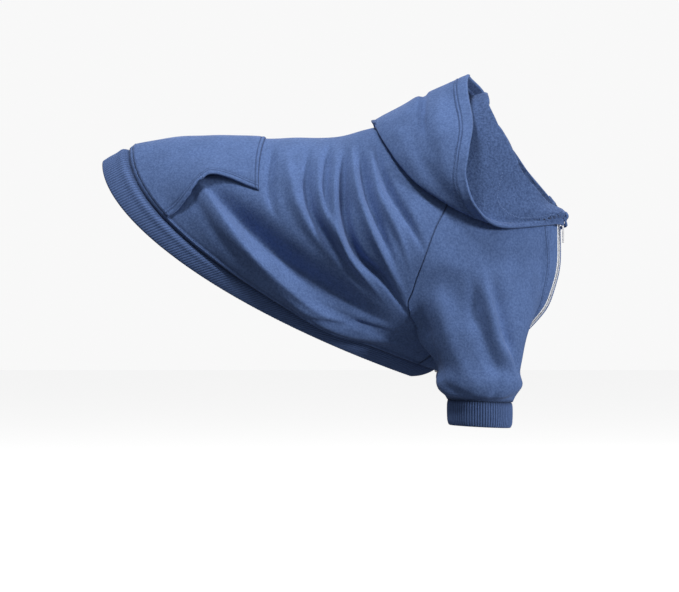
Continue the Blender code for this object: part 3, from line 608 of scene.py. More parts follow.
def tapeMaterial():
    # Woven tape: fine waves both ways in the cloth's own UV map, in white.
    material, tree, shader = principled("tapeWhite")
    place = node(tree, "ShaderNodeUVMap", uv_map="cloth").outputs[0]
    waves = node(tree, "ShaderNodeTexWave", {"Vector": place, "Scale": 320.0}, bands_direction="DIAGONAL")
    dust = node(tree, "ShaderNodeTexNoise", {"Vector": node(tree, "ShaderNodeTexCoord").outputs["Object"],
                                             "Scale": 90.0, "Detail": 3.0})
    ramp = node(tree, "ShaderNodeValToRGB", {"Fac": dust.outputs["Fac"]})
    ramp.color_ramp.elements[0].color = (0.78, 0.80, 0.84, 1)
    ramp.color_ramp.elements[1].color = (0.92, 0.93, 0.95, 1)
    relief = node(tree, "ShaderNodeBump", {
        "Strength": 0.4, "Distance": 0.0003, "Height": waves.outputs["Fac"]})
    tree.links.new(ramp.outputs[0], shader.inputs["Base Color"])
    tree.links.new(relief.outputs[0], shader.inputs["Normal"])
    shader.inputs["Roughness"].default_value = 0.8
    return material


def enamelMaterial(name, colour, roughness, coat):
    # Moulded or enamelled white: faint speckle in colour and gloss.
    material, tree, shader = principled(name)
    place = node(tree, "ShaderNodeTexCoord").outputs["Object"]
    speck = node(tree, "ShaderNodeTexNoise", {"Vector": place, "Scale": 700.0, "Detail": 2.0})
    ramp = node(tree, "ShaderNodeValToRGB", {"Fac": speck.outputs["Fac"]})
    ramp.color_ramp.elements[0].color = (*[c * 0.9 for c in colour], 1)
    ramp.color_ramp.elements[1].color = (*colour, 1)
    gloss = node(tree, "ShaderNodeMapRange", {"Value": speck.outputs["Fac"], "To Min": roughness - 0.06,
                                              "To Max": roughness + 0.08})
    tree.links.new(ramp.outputs[0], shader.inputs["Base Color"])
    tree.links.new(gloss.outputs[0], shader.inputs["Roughness"])
    shader.inputs["Coat Weight"].default_value = coat
    return material


tapeWhite = tapeMaterial()
teethWhite = enamelMaterial("teethWhite", (0.93, 0.94, 0.96), 0.38, 0.0)
enamelWhite = enamelMaterial("enamelWhite", (0.93, 0.93, 0.95), 0.25, 0.5)
print("stage: materials made")


# Body: back and flanks. A ridge of topstitching runs beside the hem seam.
bodyPanel = {"rows": 130, "columns": 205, "hemRidge": 0.0012, "hemRidgeAt": 0.0045, "hemRidgeWidth": 0.0017,
             "groove": 0.0007, "grooveAt": 0.0090, "grooveWidth": 0.0016, "stitchAt": 0.0068}


def makeBody():
    share = crowded(bodyPanel["rows"], 0.55)
    rows = share[:, None]
    across = crowded(bodyPanel["columns"], 0.80) * 2 - 1
    base = torso(rows, across * backEdge(rows))
    normal = gridNormals(base)
    hem, neck, left, right = edgeDistances(base)
    lift = seamed(hem) * 0.8 + seamed(neck) + seamed(left) + seamed(right)
    lift += bodyPanel["hemRidge"] * bell(hem, bodyPanel["hemRidgeAt"], bodyPanel["hemRidgeWidth"])
    lift -= bodyPanel["groove"] * bell(hem, bodyPanel["grooveAt"], bodyPanel["grooveWidth"])
    outer = base + normal * lift[..., None]
    # Painted shade along the seam grooves and in the groove beside the hem seam.
    hollow = np.maximum.reduce([bell(d, 0.0004, 0.0017) for d in (hem, neck, left, right)])
    hollow = np.maximum(hollow, 0.35 * bell(hem, bodyPanel["grooveAt"], 0.0012))
    piece = cloth("bodyPanel", outer, garment["fleece"], [fleeceBlue, liningBlue], hollow)
    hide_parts("body")
    normal = gridNormals(outer)
    stitched("hemStitches", [lineAt(outer, normal, hem, bodyPanel["stitchAt"])], threadBlue)


makeBody()
print("stage: body made")


# Chest panels: the strips between the sleeves and the zip, on down under the belly.
chestPanel = {"rows": 150, "columns": 16, "stitchAt": 0.0062}


def makeChestPanel(side):
    rows = crowded(chestPanel["rows"], 0.62)[:, None]
    zipEdge = garment["zipOpen"] * side
    outerTurn = chestEdge(rows) if side < 0 else 2 * math.pi - chestEdge(rows)
    innerTurn = zipTurn(rows, zipEdge)
    first, last = (outerTurn, innerTurn) if side < 0 else (innerTurn, outerTurn)
    across = crowded(chestPanel["columns"], 0.045, near=(0.0, 0.0007, 0.0015, 0.0024, 0.0036, 0.005, 0.007))
    base = torso(rows, first + (last - first) * across)
    normal = gridNormals(base)
    hem, neck, left, right = edgeDistances(base)
    seam, zipSide = (left, right) if side < 0 else (right, left)
    lift = seamed(hem) + seamed(neck) + seamed(seam) + 0.0004 * bell(zipSide, 0.0045, 0.003)
    lift -= 0.0008 * bell(zipSide, 0.0, 0.001)
    outer = base + normal * lift[..., None]
    name = sided("chestPanel", side)
    # Painted shade along the hem, neck and sleeve seams.
    hollow = np.maximum.reduce([bell(d, 0.0004, 0.0017) for d in (hem, neck, seam)])
    piece = cloth(name, outer, garment["fleece"], [fleeceBlue, liningBlue], hollow)
    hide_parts(sidedNode("chest_panel", side))
    normal = gridNormals(outer)
    stitched(name + "Stitches", [lineAt(outer, normal, zipSide, chestPanel["stitchAt"], axis=1)], threadBlue)


for side in (-1, 1):
    makeChestPanel(side)
print("stage: chest panels made")


# Sleeves: lofts from the armholes to the cuffs, bloused over the cuffs.
sleeve = {
    "drop": 0.462, "spread": 0.108, "forward": 0.156, "cuffWidth": 0.107, "cuffThrough": 0.080,
    "cuffTilt": 0.05, "blouse": 0.17, "blouseAt": 0.90, "blouseSpan": 0.07, "turnIn": 0.24,
    "topHold": 0.38, "cuffRise": 0.100, "cuffSpread": 0.62, "fall": (0.10, -0.05, -1.0),
    "underarm": (0.0, -0.1, -1.0), "underarmLean": 0.2, "underarmShare": 0.24, "columns": 216, "rows": 72,
    "setBack": -0.0010, "evening": 22, "rearFullness": 0.011, "rearAt": 0.22, "rearSpan": 0.13,
    "leftForward": 0.009,
}
sleeveFolds = {
    "frontRidge": (8, 18, 10, ((158, -225), (163, -262), (170, -306), (179, -339), (187, -364), (197, -388),
        (208, -412), (222, -446))),
    "frontValley": (13, 7, -7, ((172, -236), (180, -277), (189, -317), (197, -352), (207, -380),
        (222, -420))),
    "middleValley": (12, 18, -6, ((136, -235), (145, -280), (155, -330), (164, -364), (177, -402),
        (198, -446))),
    "rearRidge": (18, 20, 5, ((84, -262), (88, -300), (96, -339), (107, -375), (129, -410), (162, -450))),
    "rearValley": (12, 12, -5, ((52, -300), (62, -340), (73, -375), (86, -412), (108, -452))),
    "highHollow": (30, 34, -7, ((84, -226), (98, -262), (116, -292), (140, -322), (168, -346))),
    "lowBulge": (36, 10, 9, ((74, -428), (92, -438), (118, -446), (148, -448), (182, -446), (214, -438),
        (240, -426))),
    "cuffRoll": (6, 6, 3, ((86, -438), (106, -449), (136, -456), (172, -457), (212, -447), (236, -432))),
    "cuffPleatOne": (6, 7, -3, ((92, -428), (109, -438), (128, -448), (156, -455))),
    "cuffPleatTwo": (7, 7, -3, ((190, -420), (184, -434), (176, -448), (164, -460))),
}


def cuffRing(share, down=0.0, scale=1.0):
    # An oval ring of the cuff, by a share of the round from its inner side over its rear and outer side.
    x = -np.sin(2 * math.pi * share) * sleeve["cuffWidth"] / 2 * scale
    y = np.cos(2 * math.pi * share) * sleeve["cuffThrough"] / 2 * scale
    z = -sleeve["drop"] - sleeve["cuffTilt"] * x - down
    return np.stack(np.broadcast_arrays(sleeve["forward"] + x, y - sleeve["spread"], z), -1)


def armhole():
    # Place and turn of the armhole, up the raglan seam, along the neck and down the front seam, and
    # the share of the cuff's round that each point leads to.
    climb = garment["armpitPlace"] + (1 - garment["armpitPlace"]) * np.linspace(0, 1, 17) ** 1.5
    neck = np.linspace(seamTurn(raglanSeam, 1.0), seamTurn(frontSeam, 1.0), 9)
    place = np.concatenate([climb[:-1], np.ones(8), climb[:0:-1]])
    turn = np.concatenate([seamTurn(raglanSeam, climb[:-1]), neck[:-1], seamTurn(frontSeam, climb[:0:-1])])
    share = np.interp(np.arange(len(place)), (0, 4, 16, 24, 30, 40), (0.0, 0.25, 0.41, 0.59, 0.75, 1.0))
    return place, turn, share


def sleeveFrame():
    place, turn, share = armhole()
    start = plainTorso(place, turn)
    normal = outward(plainTorso, place, turn)
    seam = unit(np.roll(start, -1, 0) - np.roll(start, 1, 0))
    inward = unit(np.cross(seam, normal))
    end = cuffRing(share)
    length = np.linalg.norm(end - start, axis=1, keepdims=True)
    fall = np.array(sleeve["fall"])
    along = unit(fall - normal * (normal @ fall)[:, None])
    leave = unit(along + sleeve["turnIn"] * inward)
    under = smooth(1 - np.minimum(share, 1 - share) / sleeve["underarmShare"])[:, None]
    low = np.array(sleeve["underarm"]) + sleeve["underarmLean"] * normal
    leave = unit(leave * (1 - under) + low * under)
    for _ in range(4):
        leave = unit(np.roll(leave, 1, 0) + 2 * leave + np.roll(leave, -1, 0))
    return place, turn, share, leave, length, inward


def closedCurve(values, count):
    # Periodic smooth curve through coarse values, at finer even steps of their index.
    size = len(values)
    padded = np.concatenate([values[-4:], values, values[:5]])
    at = np.linspace(0, size, count, endpoint=False)
    return eased(np.arange(-4, size + 5), padded, at)


def makeSleeve(side):
    place, turn, share, leave, length, inward = sleeveFrame()
    count = sleeve["columns"]
    step = np.linspace(0, len(place), count, endpoint=False)
    known = np.arange(len(place) + 1)
    placeFine = np.interp(step, known, np.append(place, place[0]))
    rising = step <= 16
    falling = step >= 24
    turnFine = np.where(rising, seamTurn(raglanSeam, placeFine), np.where(
        falling, seamTurn(frontSeam, placeFine), np.interp(step, known, np.append(turn, turn[0]))))
    shareFine = np.interp(step, known, np.append(share, 1.0))
    leaveFine = unit(closedCurve(leave, count))
    lengthFine = closedCurve(length[:, 0], count)[:, None]
    start = torso(placeFine, turnFine)
    start = start + unit(closedCurve(inward, count)) * sleeve["setBack"]
    end = cuffRing(shareFine)
    radial = end - end.mean(0)
    t = crowded(sleeve["rows"], 0.34)[:, None, None]
    firstHold = start + leaveFine * lengthFine * sleeve["topHold"]
    lastHold = end + np.array([0.0, 0.0, sleeve["cuffRise"]]) + radial * sleeve["cuffSpread"]
    points = ((1 - t) ** 3 * start + 3 * (1 - t) ** 2 * t * firstHold
              + 3 * (1 - t) * t**2 * lastHold + t**3 * end)
    rear = bell(shareFine, sleeve["rearAt"], sleeve["rearSpan"])
    points[..., 0] -= sleeve["rearFullness"] * np.sin(math.pi * t[..., 0]) ** 3 * rear
    eve = points
    for _ in range(sleeve["evening"]):
        eve = (np.roll(eve, 2, 1) + np.roll(eve, 1, 1) + eve + np.roll(eve, -1, 1) + np.roll(eve, -2, 1)) / 5
    points = points + (eve - points) * smooth(t / 0.16) * smooth((1 - t) / 0.1)
    points = points + radial * sleeve["blouse"] * bell(t, sleeve["blouseAt"], sleeve["blouseSpan"])
    points = points[:, ::-1]
    normal = gridNormals(points, closed=True)
    rise = foldHeight(points, sleeveFolds)
    outerSide = smooth((-sleeve["spread"] + 0.02 - points[..., 1]) / 0.03)
    ends = smooth(np.minimum(t[..., 0] / 0.2, (1 - t[..., 0]) / 0.04))
    lift = rise * outerSide * ends + 0.0012 * ripple(points, 0.07, 9) * ends
    top, bottom = arcs(points, 0), arcs(points, 0)[-1:] - arcs(points, 0)
    lift += seamed(top)
    # Painted shade along the armhole seam and at the sleeve's end over the cuff.
    hollow = np.maximum(bell(top, 0.0007, 0.0018), bell(bottom, 0, 0.004))
    outer = points + normal * lift[..., None]
    if side > 0:
        outer[..., 0] += sleeve["leftForward"] * t[..., 0] ** 2
        outer, hollow = (outer * np.array([1.0, -1.0, 1.0]))[:, ::-1], hollow[:, ::-1]
    piece = cloth(sided("sleeve", side), outer, garment["fleece"], [fleeceBlue, liningBlue], hollow,
                  closed=True)
    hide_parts(sidedNode("sleeve", side))


for side in (-1, 1):
    makeSleeve(side)
print("stage: sleeves made")


# Ribbed knit: a band whose surface rises and falls round it, rib by rib.
ribKnit = {"thickness": 0.0030, "height": 0.0009}
cuff = {"length": 0.043, "taper": 0.985, "belly": 0.016, "rim": 0.03, "rimFrom": 0.8, "rimOver": 0.2,
        "rows": 12, "ribs": 76, "steps": 8}


def ribWave(along):
    # Rounded ribs with narrow grooves between them.
    return np.abs(np.cos(math.pi * along)) ** 0.6


def makeCuff(side):
    columns = cuff["ribs"] * cuff["steps"]
    share = np.linspace(0, 1, columns, endpoint=False)[None]
    down = crowded(cuff["rows"], cuff["length"], near=(0.0, 0.0006, 0.0014, 0.0024, 0.0036))[:, None]
    scale = 1 + (cuff["taper"] - 1) * down + cuff["belly"] * np.sin(math.pi * down)
    scale = scale - cuff["rim"] * smooth((down - cuff["rimFrom"]) / cuff["rimOver"])
    points = cuffRing(share, down * cuff["length"], scale)
    edge = np.minimum(down, 1 - down) * cuff["length"]
    points = points[:, ::-1]
    normal = gridNormals(points, closed=True)
    rib = ribWave(share[:, ::-1] * cuff["ribs"]) * ribKnit["height"]
    lift = rib - 0.0014 * bell(edge, 0, 0.0012) - 0.0012 * bell(down * cuff["length"], 0, 0.004)
    outer = points + normal * lift[..., None]
    # Painted shade in the grooves between the ribs and at the top, under the bloused sleeve.
    hollow = (1 - ribWave(share[:, ::-1] * cuff["ribs"])) * np.ones_like(edge)
    hollow = np.maximum(hollow, bell(down * cuff["length"], 0, 0.005))
    if side > 0:
        outer[..., 0] += sleeve["leftForward"]
        outer, hollow = (outer * np.array([1.0, -1.0, 1.0]))[:, ::-1], hollow[:, ::-1]
    piece = cloth(sided("cuff", side), outer, ribKnit["thickness"], [ribBlue, ribBlue], hollow, closed=True)
    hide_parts(sidedNode("cuff", side))


for side in (-1, 1):
    makeCuff(side)


# Ribbed hem, from the seam over a soft roll to its free edge.
hem = {"edge": (-0.630, -0.160, 0.041, -1.012, 0.780, 0.214, 0.20), "width": 0.0445, "tuck": 0.005,
       "roll": 0.0035, "rows": 12, "ribs": 286, "steps": 7}


def hemBand(share, turn):
    seam = plainTorso(0.0, turn)
    normal = outward(plainTorso, 0.0, turn)
    edge = ringPoints(*hem["edge"], turn)
    start = seam - normal * hem["tuck"]
    reach = edge - start
    start = start + unit(reach) * 0.0004
    reach = reach * hem["width"] / np.linalg.norm(reach, axis=-1).mean()
    back = smooth((math.cos(0.55) - (-np.cos(turn)) - 0.4) / 1.2)[..., None]
    roll = hem["roll"] * np.sin(math.pi * share) + 0.0035 * bell(share, 0.26, 0.15) * back
    return start + reach * share + normal * roll


def makeHemRib():
    edge = garment["zipOpen"]
    columns = hem["ribs"] * hem["steps"] + 1
    first, last = zipTurn(0.0, edge) - 2 * math.pi, zipTurn(0.0, -edge)
    rough = np.linspace(first, last, 400)
    run = arcs(hemBand(0.5, rough)[:, None], 0)[:, 0]
    turn = np.interp(np.linspace(0, run[-1], columns), run, rough)
    share = crowded(hem["rows"], hem["width"], near=(0.0, 0.0006, 0.0014, 0.0024, 0.0036))[:, None, None]
    base = hemBand(share, turn[None])[::-1]
    normal = gridNormals(base)
    free, seam, left, right = edgeDistances(base)
    rib = ribWave(np.linspace(0, hem["ribs"], columns))[None] * ribKnit["height"]
    rib = rib * smooth(seam / 0.006)
    lift = rib - 0.0014 * bell(free, 0, 0.0012) + seamed(left) * 0.5 + seamed(right) * 0.5
    outer = base + normal * lift[..., None]
    # Painted shade in the grooves between the ribs and along the seam.
    hollow = (1 - ribWave(np.linspace(0, hem["ribs"], columns))[None]) * smooth(seam / 0.006)
    hollow = np.maximum(hollow, bell(seam, 0, 0.004))
    piece = cloth("hemRib", outer, ribKnit["thickness"], [ribBlue, ribBlue], hollow)
    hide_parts("hem_rib")


makeHemRib()
print("stage: ribbed bands made")


# Hood: an S-shaped loft from the neck seam up to the roll, down the lining to the fold and up to
# the face edge. Station 0 is the nape and 1 the zip. Columns: station, fold place and turn, roll
# forward, out and up, edge forward, out and up.
hood = {
    "depth": 0.200, "clearance": 0.010, "frontClearance": 0.006, "frontFlap": 0.006, "seamRise": 0.0006,
    "skew": 0.036, "skewUp": 0.004, "crown": 0.013, "columns": 150, "rows": 110,
    "hemAt": 0.0230, "hemApart": 0.0055, "collarFrom": 0.60, "collarTo": 0.955, "collarUp": 0.018,
    "collarRows": (0.36, 0.64), "frontRise": 0.015, "frontRiseFrom": 0.83, "frontRiseOver": 0.13,
    "foldLimit": 0.997,
}
hoodTable = np.array([
    (0.00, 0.820, 0.000, 0.740, 0.000, 0.210, 0.820, 0.000, 0.405),
    (0.15, 0.844, 0.182, 0.720, -0.015, 0.245, 0.700, -0.050, 0.370),
    (0.30, 0.842, 0.285, 0.635, -0.065, 0.285, 0.600, -0.005, 0.340),
    (0.45, 0.834, 0.370, 0.475, -0.095, 0.270, 0.420, 0.065, 0.260),
    (0.60, 0.851, 0.461, 0.280, -0.080, 0.210, 0.185, 0.100, 0.170),
    (0.70, 0.870, 0.539, 0.160, -0.055, 0.165, 0.060, 0.105, 0.060),
    (0.80, 0.905, 0.650, 0.060, -0.025, 0.120, -0.060, 0.085, -0.015),
    (0.90, 0.950, 0.790, 0.000, -0.010, 0.085, -0.050, 0.060, -0.045),
    (1.00, 0.990, 1.000, 0.005, 0.000, 0.070, 0.010, 0.010, -0.050),
])


hoodFolds = {
    "crownCrease": (7, 6, -9, ((70, 84), (66, 56), (62, 34), (60, 12), (62, -14), (70, -46))),
    "crownRidge": (12, 9, 3, ((74, 62), (52, 40), (30, 16), (4, -4))),
    "rearBulge": (18, 22, 4, ((14, 18), (24, -22), (38, -56), (62, -100))),
    "frontBulge": (18, 14, 4, ((92, 62), (88, 20), (86, -20), (94, -84))),
    "lowHollow": (14, 16, -4, ((56, -50), (74, -84), (94, -114), (124, -146))),
}


def hoodSide(station, side):
    def look(k):
        return eased(hoodTable[:, 0], hoodTable[:, k], station)
    zipEdge = zipTurn(1.0, side * (garment["zipChainWidth"] / 2 + garment["zipTapeWidth"]))
    reach = zipEdge if side < 0 else 2 * math.pi - zipEdge
    neck = plainTorso(1.0, -side * station * reach) + np.array([0.0, 0.0, hood["seamRise"]])
    foldTurn = -side * look(2) * (math.pi + (reach - math.pi) * station**2)
    rise = hood["frontRise"] * smooth((station - hood["frontRiseFrom"]) / hood["frontRiseOver"])
    foldPlace = np.minimum(look(1) + rise, hood["foldLimit"])
    normal = outward(plainTorso, foldPlace, foldTurn)
    clearance = hood["clearance"] + (hood["frontClearance"] - hood["clearance"]) * station**3
    fold = plainTorso(foldPlace, foldTurn) + normal * clearance[:, None]
    spread = hood["depth"] * np.array([1, side, 1])
    roll = neck + np.stack([look(3), look(4), look(5)], -1) * spread
    edge = fold + np.stack([look(6), look(7), look(8)], -1) * spread
    if side > 0:
        skew = (station / 0.14) ** 2
        skew = skew * np.exp(1 - skew)
        edge[..., 0] += hood["skew"] * skew
        edge[..., 2] += hood["skewUp"] * skew
    crown = np.clip((0.8 - station) / 0.5, 0, 1) - 0.75 * np.exp(-((station / 0.12) ** 2))
    outer = (fold + edge) / 2 + normal * hood["crown"] * crown[:, None]
    flap = hood["frontFlap"] * np.clip((station - 0.7) / 0.15, 0, 1)[:, None]
    lining = (roll + fold) / 2 + normal * flap
    return np.stack([neck, (neck + roll) / 2, roll, lining, fold, outer, edge])


def makeHood():
    half = hood["columns"] // 2
    even = np.linspace(0, 1, half)
    near = 1 - np.array([0.010, 0.0075, 0.0052, 0.0035, 0.0018, 0.0])
    station = np.concatenate([even[even < 0.988], near])
    left = hoodSide(station[:0:-1], 1)
    right = hoodSide(station, -1)
    controls = np.concatenate([left, right], axis=1)
    rows = np.concatenate([[0, 0.0025, 0.005, 0.0075], np.linspace(0.011, 0.93, hood["rows"]),
                           np.linspace(0.93, 1.0, 46)[1:]])
    base = eased((0.0, 0.17, 0.33, 0.50, 0.67, 0.84, 1.0), controls, rows)
    normal = gridNormals(base)
    neck, face, left, right = edgeDistances(base)
    lift = 0.0016 * ripple(base, 0.085, 21) * smooth(neck / 0.03) * smooth(face / 0.03)
    band = smooth((hood["hemAt"] + 0.002 - face) / 0.003)
    lift += 0.0010 * band - 0.0011 * bell(face, hood["hemAt"], 0.0013)
    lift -= 0.0011 * bell(face, hood["hemAt"] - hood["hemApart"], 0.0013)
    # The folds belong to the outer layer of the seen side.
    lift += foldHeight(base, hoodFolds) * smooth((rows[:, None] - 0.6) / 0.1) * (base[..., 1] < 0.01)
    thickness = garment["fleece"] + 0.0006 + 0.0024 * band
    lift += seamed(neck)
    outer = base + normal * lift[..., None]
    stitchLines = (hood["hemAt"], hood["hemAt"] - hood["hemApart"])
    # Painted shade along the twin stitch lines and the neck seam.
    hollow = np.maximum.reduce([0.8 * bell(face, at, 0.0009) for at in stitchLines])
    hollow = np.maximum(hollow, bell(neck, 0, 0.0013))
    piece = cloth("hoodPanel", outer, thickness, [fleeceBlue, liningBlue], hollow, rim=0.5)
    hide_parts("hood")
    normal = gridNormals(outer)
    stitched("hoodStitches", [lineAt(outer, normal, -face, -at) for at in stitchLines], threadBlue)
    inside = outer - normal * thickness[..., None]
    lines = [(*lineAt(inside, -normal, -face, -(hood["hemAt"] - 0.002)), 0.0026, 1.1)]
    # The collar's inner seam: a zigzag round the lining, a little above the rim in front of it.
    inner = np.flatnonzero((rows > hood["collarRows"][0]) & (rows < hood["collarRows"][1]))
    sides = np.concatenate([-station[:0:-1], station])
    for side in (-1, 1):
        collar = np.flatnonzero((sides * side > hood["collarFrom"]) & (sides * side < hood["collarTo"]))
        part = inside[inner][:, collar]
        level = -(outer[-1, collar, 2] + hood["collarUp"])
        lines.append((*lineAt(part, -gridNormals(part), -part[..., 2], level), 0.0030, 1.1))
    stitched("collarStitches", lines, zigzagBlue)


makeHood()
print("stage: hood made")


# Back pocket: a pouch sewn along its front edge and the hem seam, lifted at its hand openings.
pocket = {"start": 0.012, "reach": 0.437, "lift": 0.012, "fullness": 0.004, "clearance": 0.0011,
          "cornerDrop": 0.077, "rows": 80, "columns": 104, "frontStitch": 0.0065, "hemStitch": 0.004,
          "sideStitches": (0.0125, 0.0075)}
pocketSide = np.array([(0.00, 0.289), (0.11, 0.282), (0.28, 0.263), (0.47, 0.234), (0.66, 0.203),
                       (0.80, 0.215), (1.00, 0.256)])


def makePocket():
    share = crowded(pocket["rows"], 0.22)[:, None]
    across = crowded(pocket["columns"], 0.26)[None] * 2 - 1
    halfTurn = eased(pocketSide[:, 0], pocketSide[:, 1], share)
    reach = pocket["reach"] - pocket["cornerDrop"] * np.abs(across) ** 2.2
    place = pocket["start"] + share * (reach - pocket["start"])
    turn = across * halfTurn * math.pi
    mouth = np.clip((share - 0.1) / 0.85, 0, 1)
    openSide = across**4 * np.sin(math.pi * mouth) ** 1.5
    full = (1 - across**2) * np.sin(math.pi * share)
    lift = garment["fleece"] + pocket["clearance"] + pocket["lift"] * openSide + pocket["fullness"] * full
    points = torso(place, turn)
    base = points + outward(torso, place, turn) * lift[..., None]
    normal = gridNormals(base)
    hemSide, front, left, right = edgeDistances(base)
    mouthEdge = np.minimum(left, right)
    rise = -0.0016 * bell(front, 0, 0.0016) - 0.0016 * bell(hemSide, 0, 0.002)
    far, near = pocket["sideStitches"]
    rise -= 0.0009 * bell(front, pocket["frontStitch"], 0.0013)
    rise -= 0.0008 * bell(mouthEdge, far, 0.0012) + 0.0006 * bell(mouthEdge, near, 0.0012)
    rise += 0.0008 * smooth((far - mouthEdge) / 0.002) * smooth(mouthEdge / 0.002)
    outer = base + normal * rise[..., None]
    # Painted shade along the stitch lines and the sewn edges.
    hollow = np.maximum.reduce([
        *[0.8 * bell(mouthEdge, at, 0.0009) for at in pocket["sideStitches"]],
        0.8 * bell(front, pocket["frontStitch"], 0.0009), bell(front, 0, 0.0014), bell(hemSide, 0, 0.002)])
    piece = cloth("backPocket", outer, garment["fleece"], [fleeceBlue, liningBlue], hollow, rim=0.5)
    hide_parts("back_pocket")
    normal = gridNormals(outer)
    lines = [lineAt(outer, normal, -front, -pocket["frontStitch"]),
             lineAt(outer, normal, hemSide, pocket["hemStitch"])]
    for target in pocket["sideStitches"]:
        lines.append(lineAt(outer, normal, left, target, axis=1))
        lines.append(lineAt(outer, normal, -right, -target, axis=1))
    stitched("pocketStitches", lines, threadBlue)


makePocket()
print("stage: pocket made")


# Zip: woven tapes, two rows of interlocked teeth, slider and pull.
zipParts = {"toothPitch": 0.0030, "toothLength": 0.0034, "toothWidth": 0.0015, "toothHeight": 0.0022,
            "tapeSunk": 0.0010, "tapeUnder": 0.0021, "tapeDipFrom": 0.0050, "tapeDipOver": 0.0022,
            "tapeLines": 15, "tapeTuck": 0.0010}


def zipLine(aside, count=420):
    # Points and normals down the zip from the neck to the hem's free edge.
    place = np.linspace(1.0, 0.0, count)
    turn = zipTurn(place, aside)
    points = torso(place, turn)
    normal = outward(plainTorso, place, turn)
    end = zipTurn(0.0, aside)
    share = np.linspace(0.1, 1.0, 24)[:, None]
    band = hemBand(share, np.full((1, 1), end))[:, 0]
    bandNormal = np.repeat(outward(plainTorso, 0.0, end).reshape(1, 3), len(band), 0)
    points, normal = np.concatenate([points, band]), np.concatenate([normal, bandNormal])
    return points, unit(normal)


def makeTape(side):
    near = side * garment["zipChainWidth"] / 2 * 0.55
    far = side * (garment["zipChainWidth"] / 2 + garment["zipTapeWidth"] + zipParts["tapeTuck"])
    asides = np.linspace(min(near, far), max(near, far), zipParts["tapeLines"])
    lines = [zipLine(aside) for aside in asides]
    dip = smooth((np.abs(asides) - zipParts["tapeDipFrom"]) / zipParts["tapeDipOver"])
    sunk = zipParts["tapeSunk"] + zipParts["tapeUnder"] * dip
    grid = np.stack([points - normal * low for (points, normal), low in zip(lines, sunk)], 1)[::-1]
    piece = cloth(sided("zipTape", side), grid, 0.0009, [tapeWhite, tapeWhite])
    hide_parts(sidedNode("zip_tape", side))


def makeTeeth():
    # Each tooth is a rounded block that reaches over the centre line; the two rows are half a pitch apart.
    points, normal = zipLine(0.0)
    points = points + normal * 0.0004
    run = arcs(points[:, None], 0)[:, 0]
    pitch, half = zipParts["toothPitch"], zipParts["toothLength"] / 2
    count = int(run[-1] / pitch * 2)
    at = (np.arange(count) + 0.5) * pitch / 2
    centre = sampled(at, run, points)
    up = unit(sampled(at, run, normal))
    along = unit(sampled(at, run, np.gradient(points, run, axis=0)))
    across = unit(np.cross(up, along))
    sign = np.where(np.arange(count) % 2, 1.0, -1.0)[:, None, None]
    wide, high = zipParts["toothWidth"] / 2, zipParts["toothHeight"]
    # Corner columns: along, across, up. A narrow neck in the middle and a wide head at the tip.
    block = np.array([(a * w, c, h) for c, w in ((-0.55, 0.75), (0.15, 1.0), (0.75, 1.0), (1.0, 0.6))
                      for a, h in ((-1, -0.5), (-1, 0.30), (-0.55, 0.5), (0.55, 0.5), (1, 0.30), (1, -0.5))])
    block = block * np.array([wide, half, high])
    local = np.stack([along, across, up], 1)
    size = np.stack([np.ones(count), sign[:, 0, 0], np.ones(count)], -1)
    corners = centre[:, None] + np.einsum("ijk,iks->ijs", block[None] * size[:, None], local)
    corners = corners + across[:, None] * sign * -0.0008
    # Every other tooth is mirrored, so its faces are turned over: 18 round each tooth and 4 on its ends.
    mirrored = sign[:, 0, 0] > 0
    kept = np.concatenate([np.repeat(mirrored, 18), np.tile(mirrored, 4)])[:, None]
    faces = sixSided(count, 4)
    piece = meshFrom("zipTeeth", corners.reshape(-1, 3), np.where(kept, faces, faces[:, ::-1]))
    piece.data.materials.append(teethWhite)
    link(piece)
    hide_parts("zip_chain")
    rounding = piece.modifiers.new("rounding", "BEVEL")
    rounding.width = 0.0002
    rounding.segments = 1


for side in (-1, 1):
    makeTape(side)
makeTeeth()
for name in ("zip_slider", "zip_pull"):
    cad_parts[name].data.materials.clear()
    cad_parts[name].data.materials.append(enamelWhite)
print("stage: zip made")


# Floor, light and camera.
studio = {
    "floor": -0.767, "camera": (-0.0774, -5.0, -0.2882), "lens": 155.9, "aim": (-0.05, 0.0, -0.2),
    "sky": 0.20, "lamps": {
        "keyLight": ((-0.7, -0.9, 2.7), 0.55, 68),
        "topLight": ((-0.1, 0.4, 2.6), 1.6, 16),
        "frontLight": ((3.0, -1.5, 0.3), 0.6, 76),
        "backLight": ((-1.2, 2.6, 1.3), 1.2, 26),
    },
}


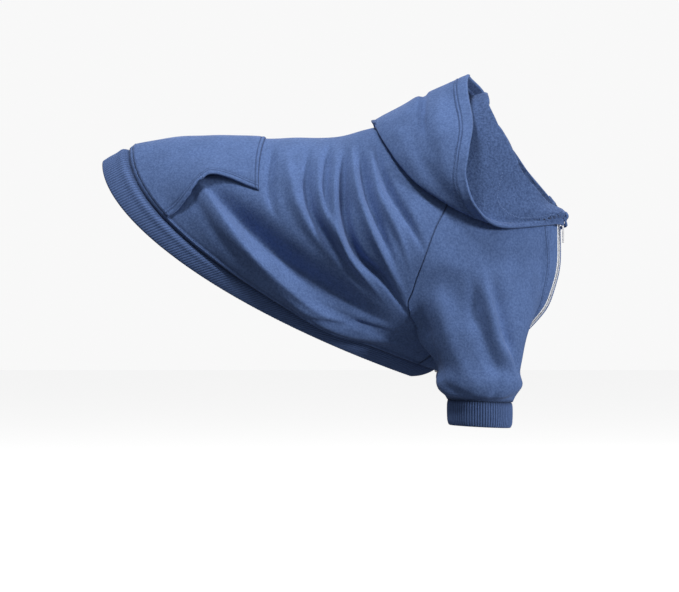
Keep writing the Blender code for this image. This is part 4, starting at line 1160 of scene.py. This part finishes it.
def makeStudio():
    mesh = bpy.data.meshes.new("floor")
    size, low = 14.0, studio["floor"]
    mesh.from_pydata([(-size, -size, low), (size, -size, low), (size, size, low), (-size, size, low)], [],
                     [(0, 1, 2, 3)])
    floor = bpy.data.objects.new("floor", mesh)
    bpy.context.scene.collection.objects.link(floor)
    material, tree, shader = principled("floorPale")
    seen = node(tree, "ShaderNodeLightPath").outputs["Is Camera Ray"]
    pale = node(tree, "ShaderNodeValToRGB", {"Fac": seen})
    pale.color_ramp.elements[0].color = (0.16, 0.16, 0.17, 1)
    pale.color_ramp.elements[1].color = (0.90, 0.90, 0.90, 1)
    tree.links.new(pale.outputs[0], shader.inputs["Base Color"])
    tree.links.new(seen, shader.inputs["Emission Strength"])
    shader.inputs["Emission Color"].default_value = (0.72, 0.72, 0.72, 1)
    shader.inputs["Roughness"].default_value = 0.9
    mesh.materials.append(material)
    world = bpy.data.worlds.new("studio")
    world.use_nodes = True
    tree = world.node_tree
    seen = node(tree, "ShaderNodeLightPath").outputs["Is Camera Ray"]
    strength = node(tree, "ShaderNodeMapRange", {"Value": seen, "To Min": studio["sky"], "To Max": 0.94})
    tree.nodes["Background"].inputs["Color"].default_value = (1.0, 1.0, 1.0, 1)
    tree.links.new(strength.outputs[0], tree.nodes["Background"].inputs["Strength"])
    bpy.context.scene.world = world
    for name, (place, size, power) in studio["lamps"].items():
        lamp = bpy.data.lights.new(name, "AREA")
        lamp.size = size
        lamp.energy = power
        holder = bpy.data.objects.new(name, lamp)
        holder.location = place
        aim = Vector(studio["aim"]) - Vector(place)
        holder.rotation_euler = aim.to_track_quat("-Z", "Y").to_euler()
        bpy.context.scene.collection.objects.link(holder)
    camera = bpy.data.cameras.new("camera")
    camera.lens = studio["lens"]
    camera.sensor_width = 36.0
    camera.clip_end = 60
    holder = bpy.data.objects.new("camera", camera)
    holder.location = studio["camera"]
    holder.rotation_euler = (math.pi / 2, 0, 0)
    bpy.context.scene.collection.objects.link(holder)
    bpy.context.scene.camera = holder
    bpy.context.scene.view_settings.view_transform = "Standard"


makeStudio()
print("stage: studio made")
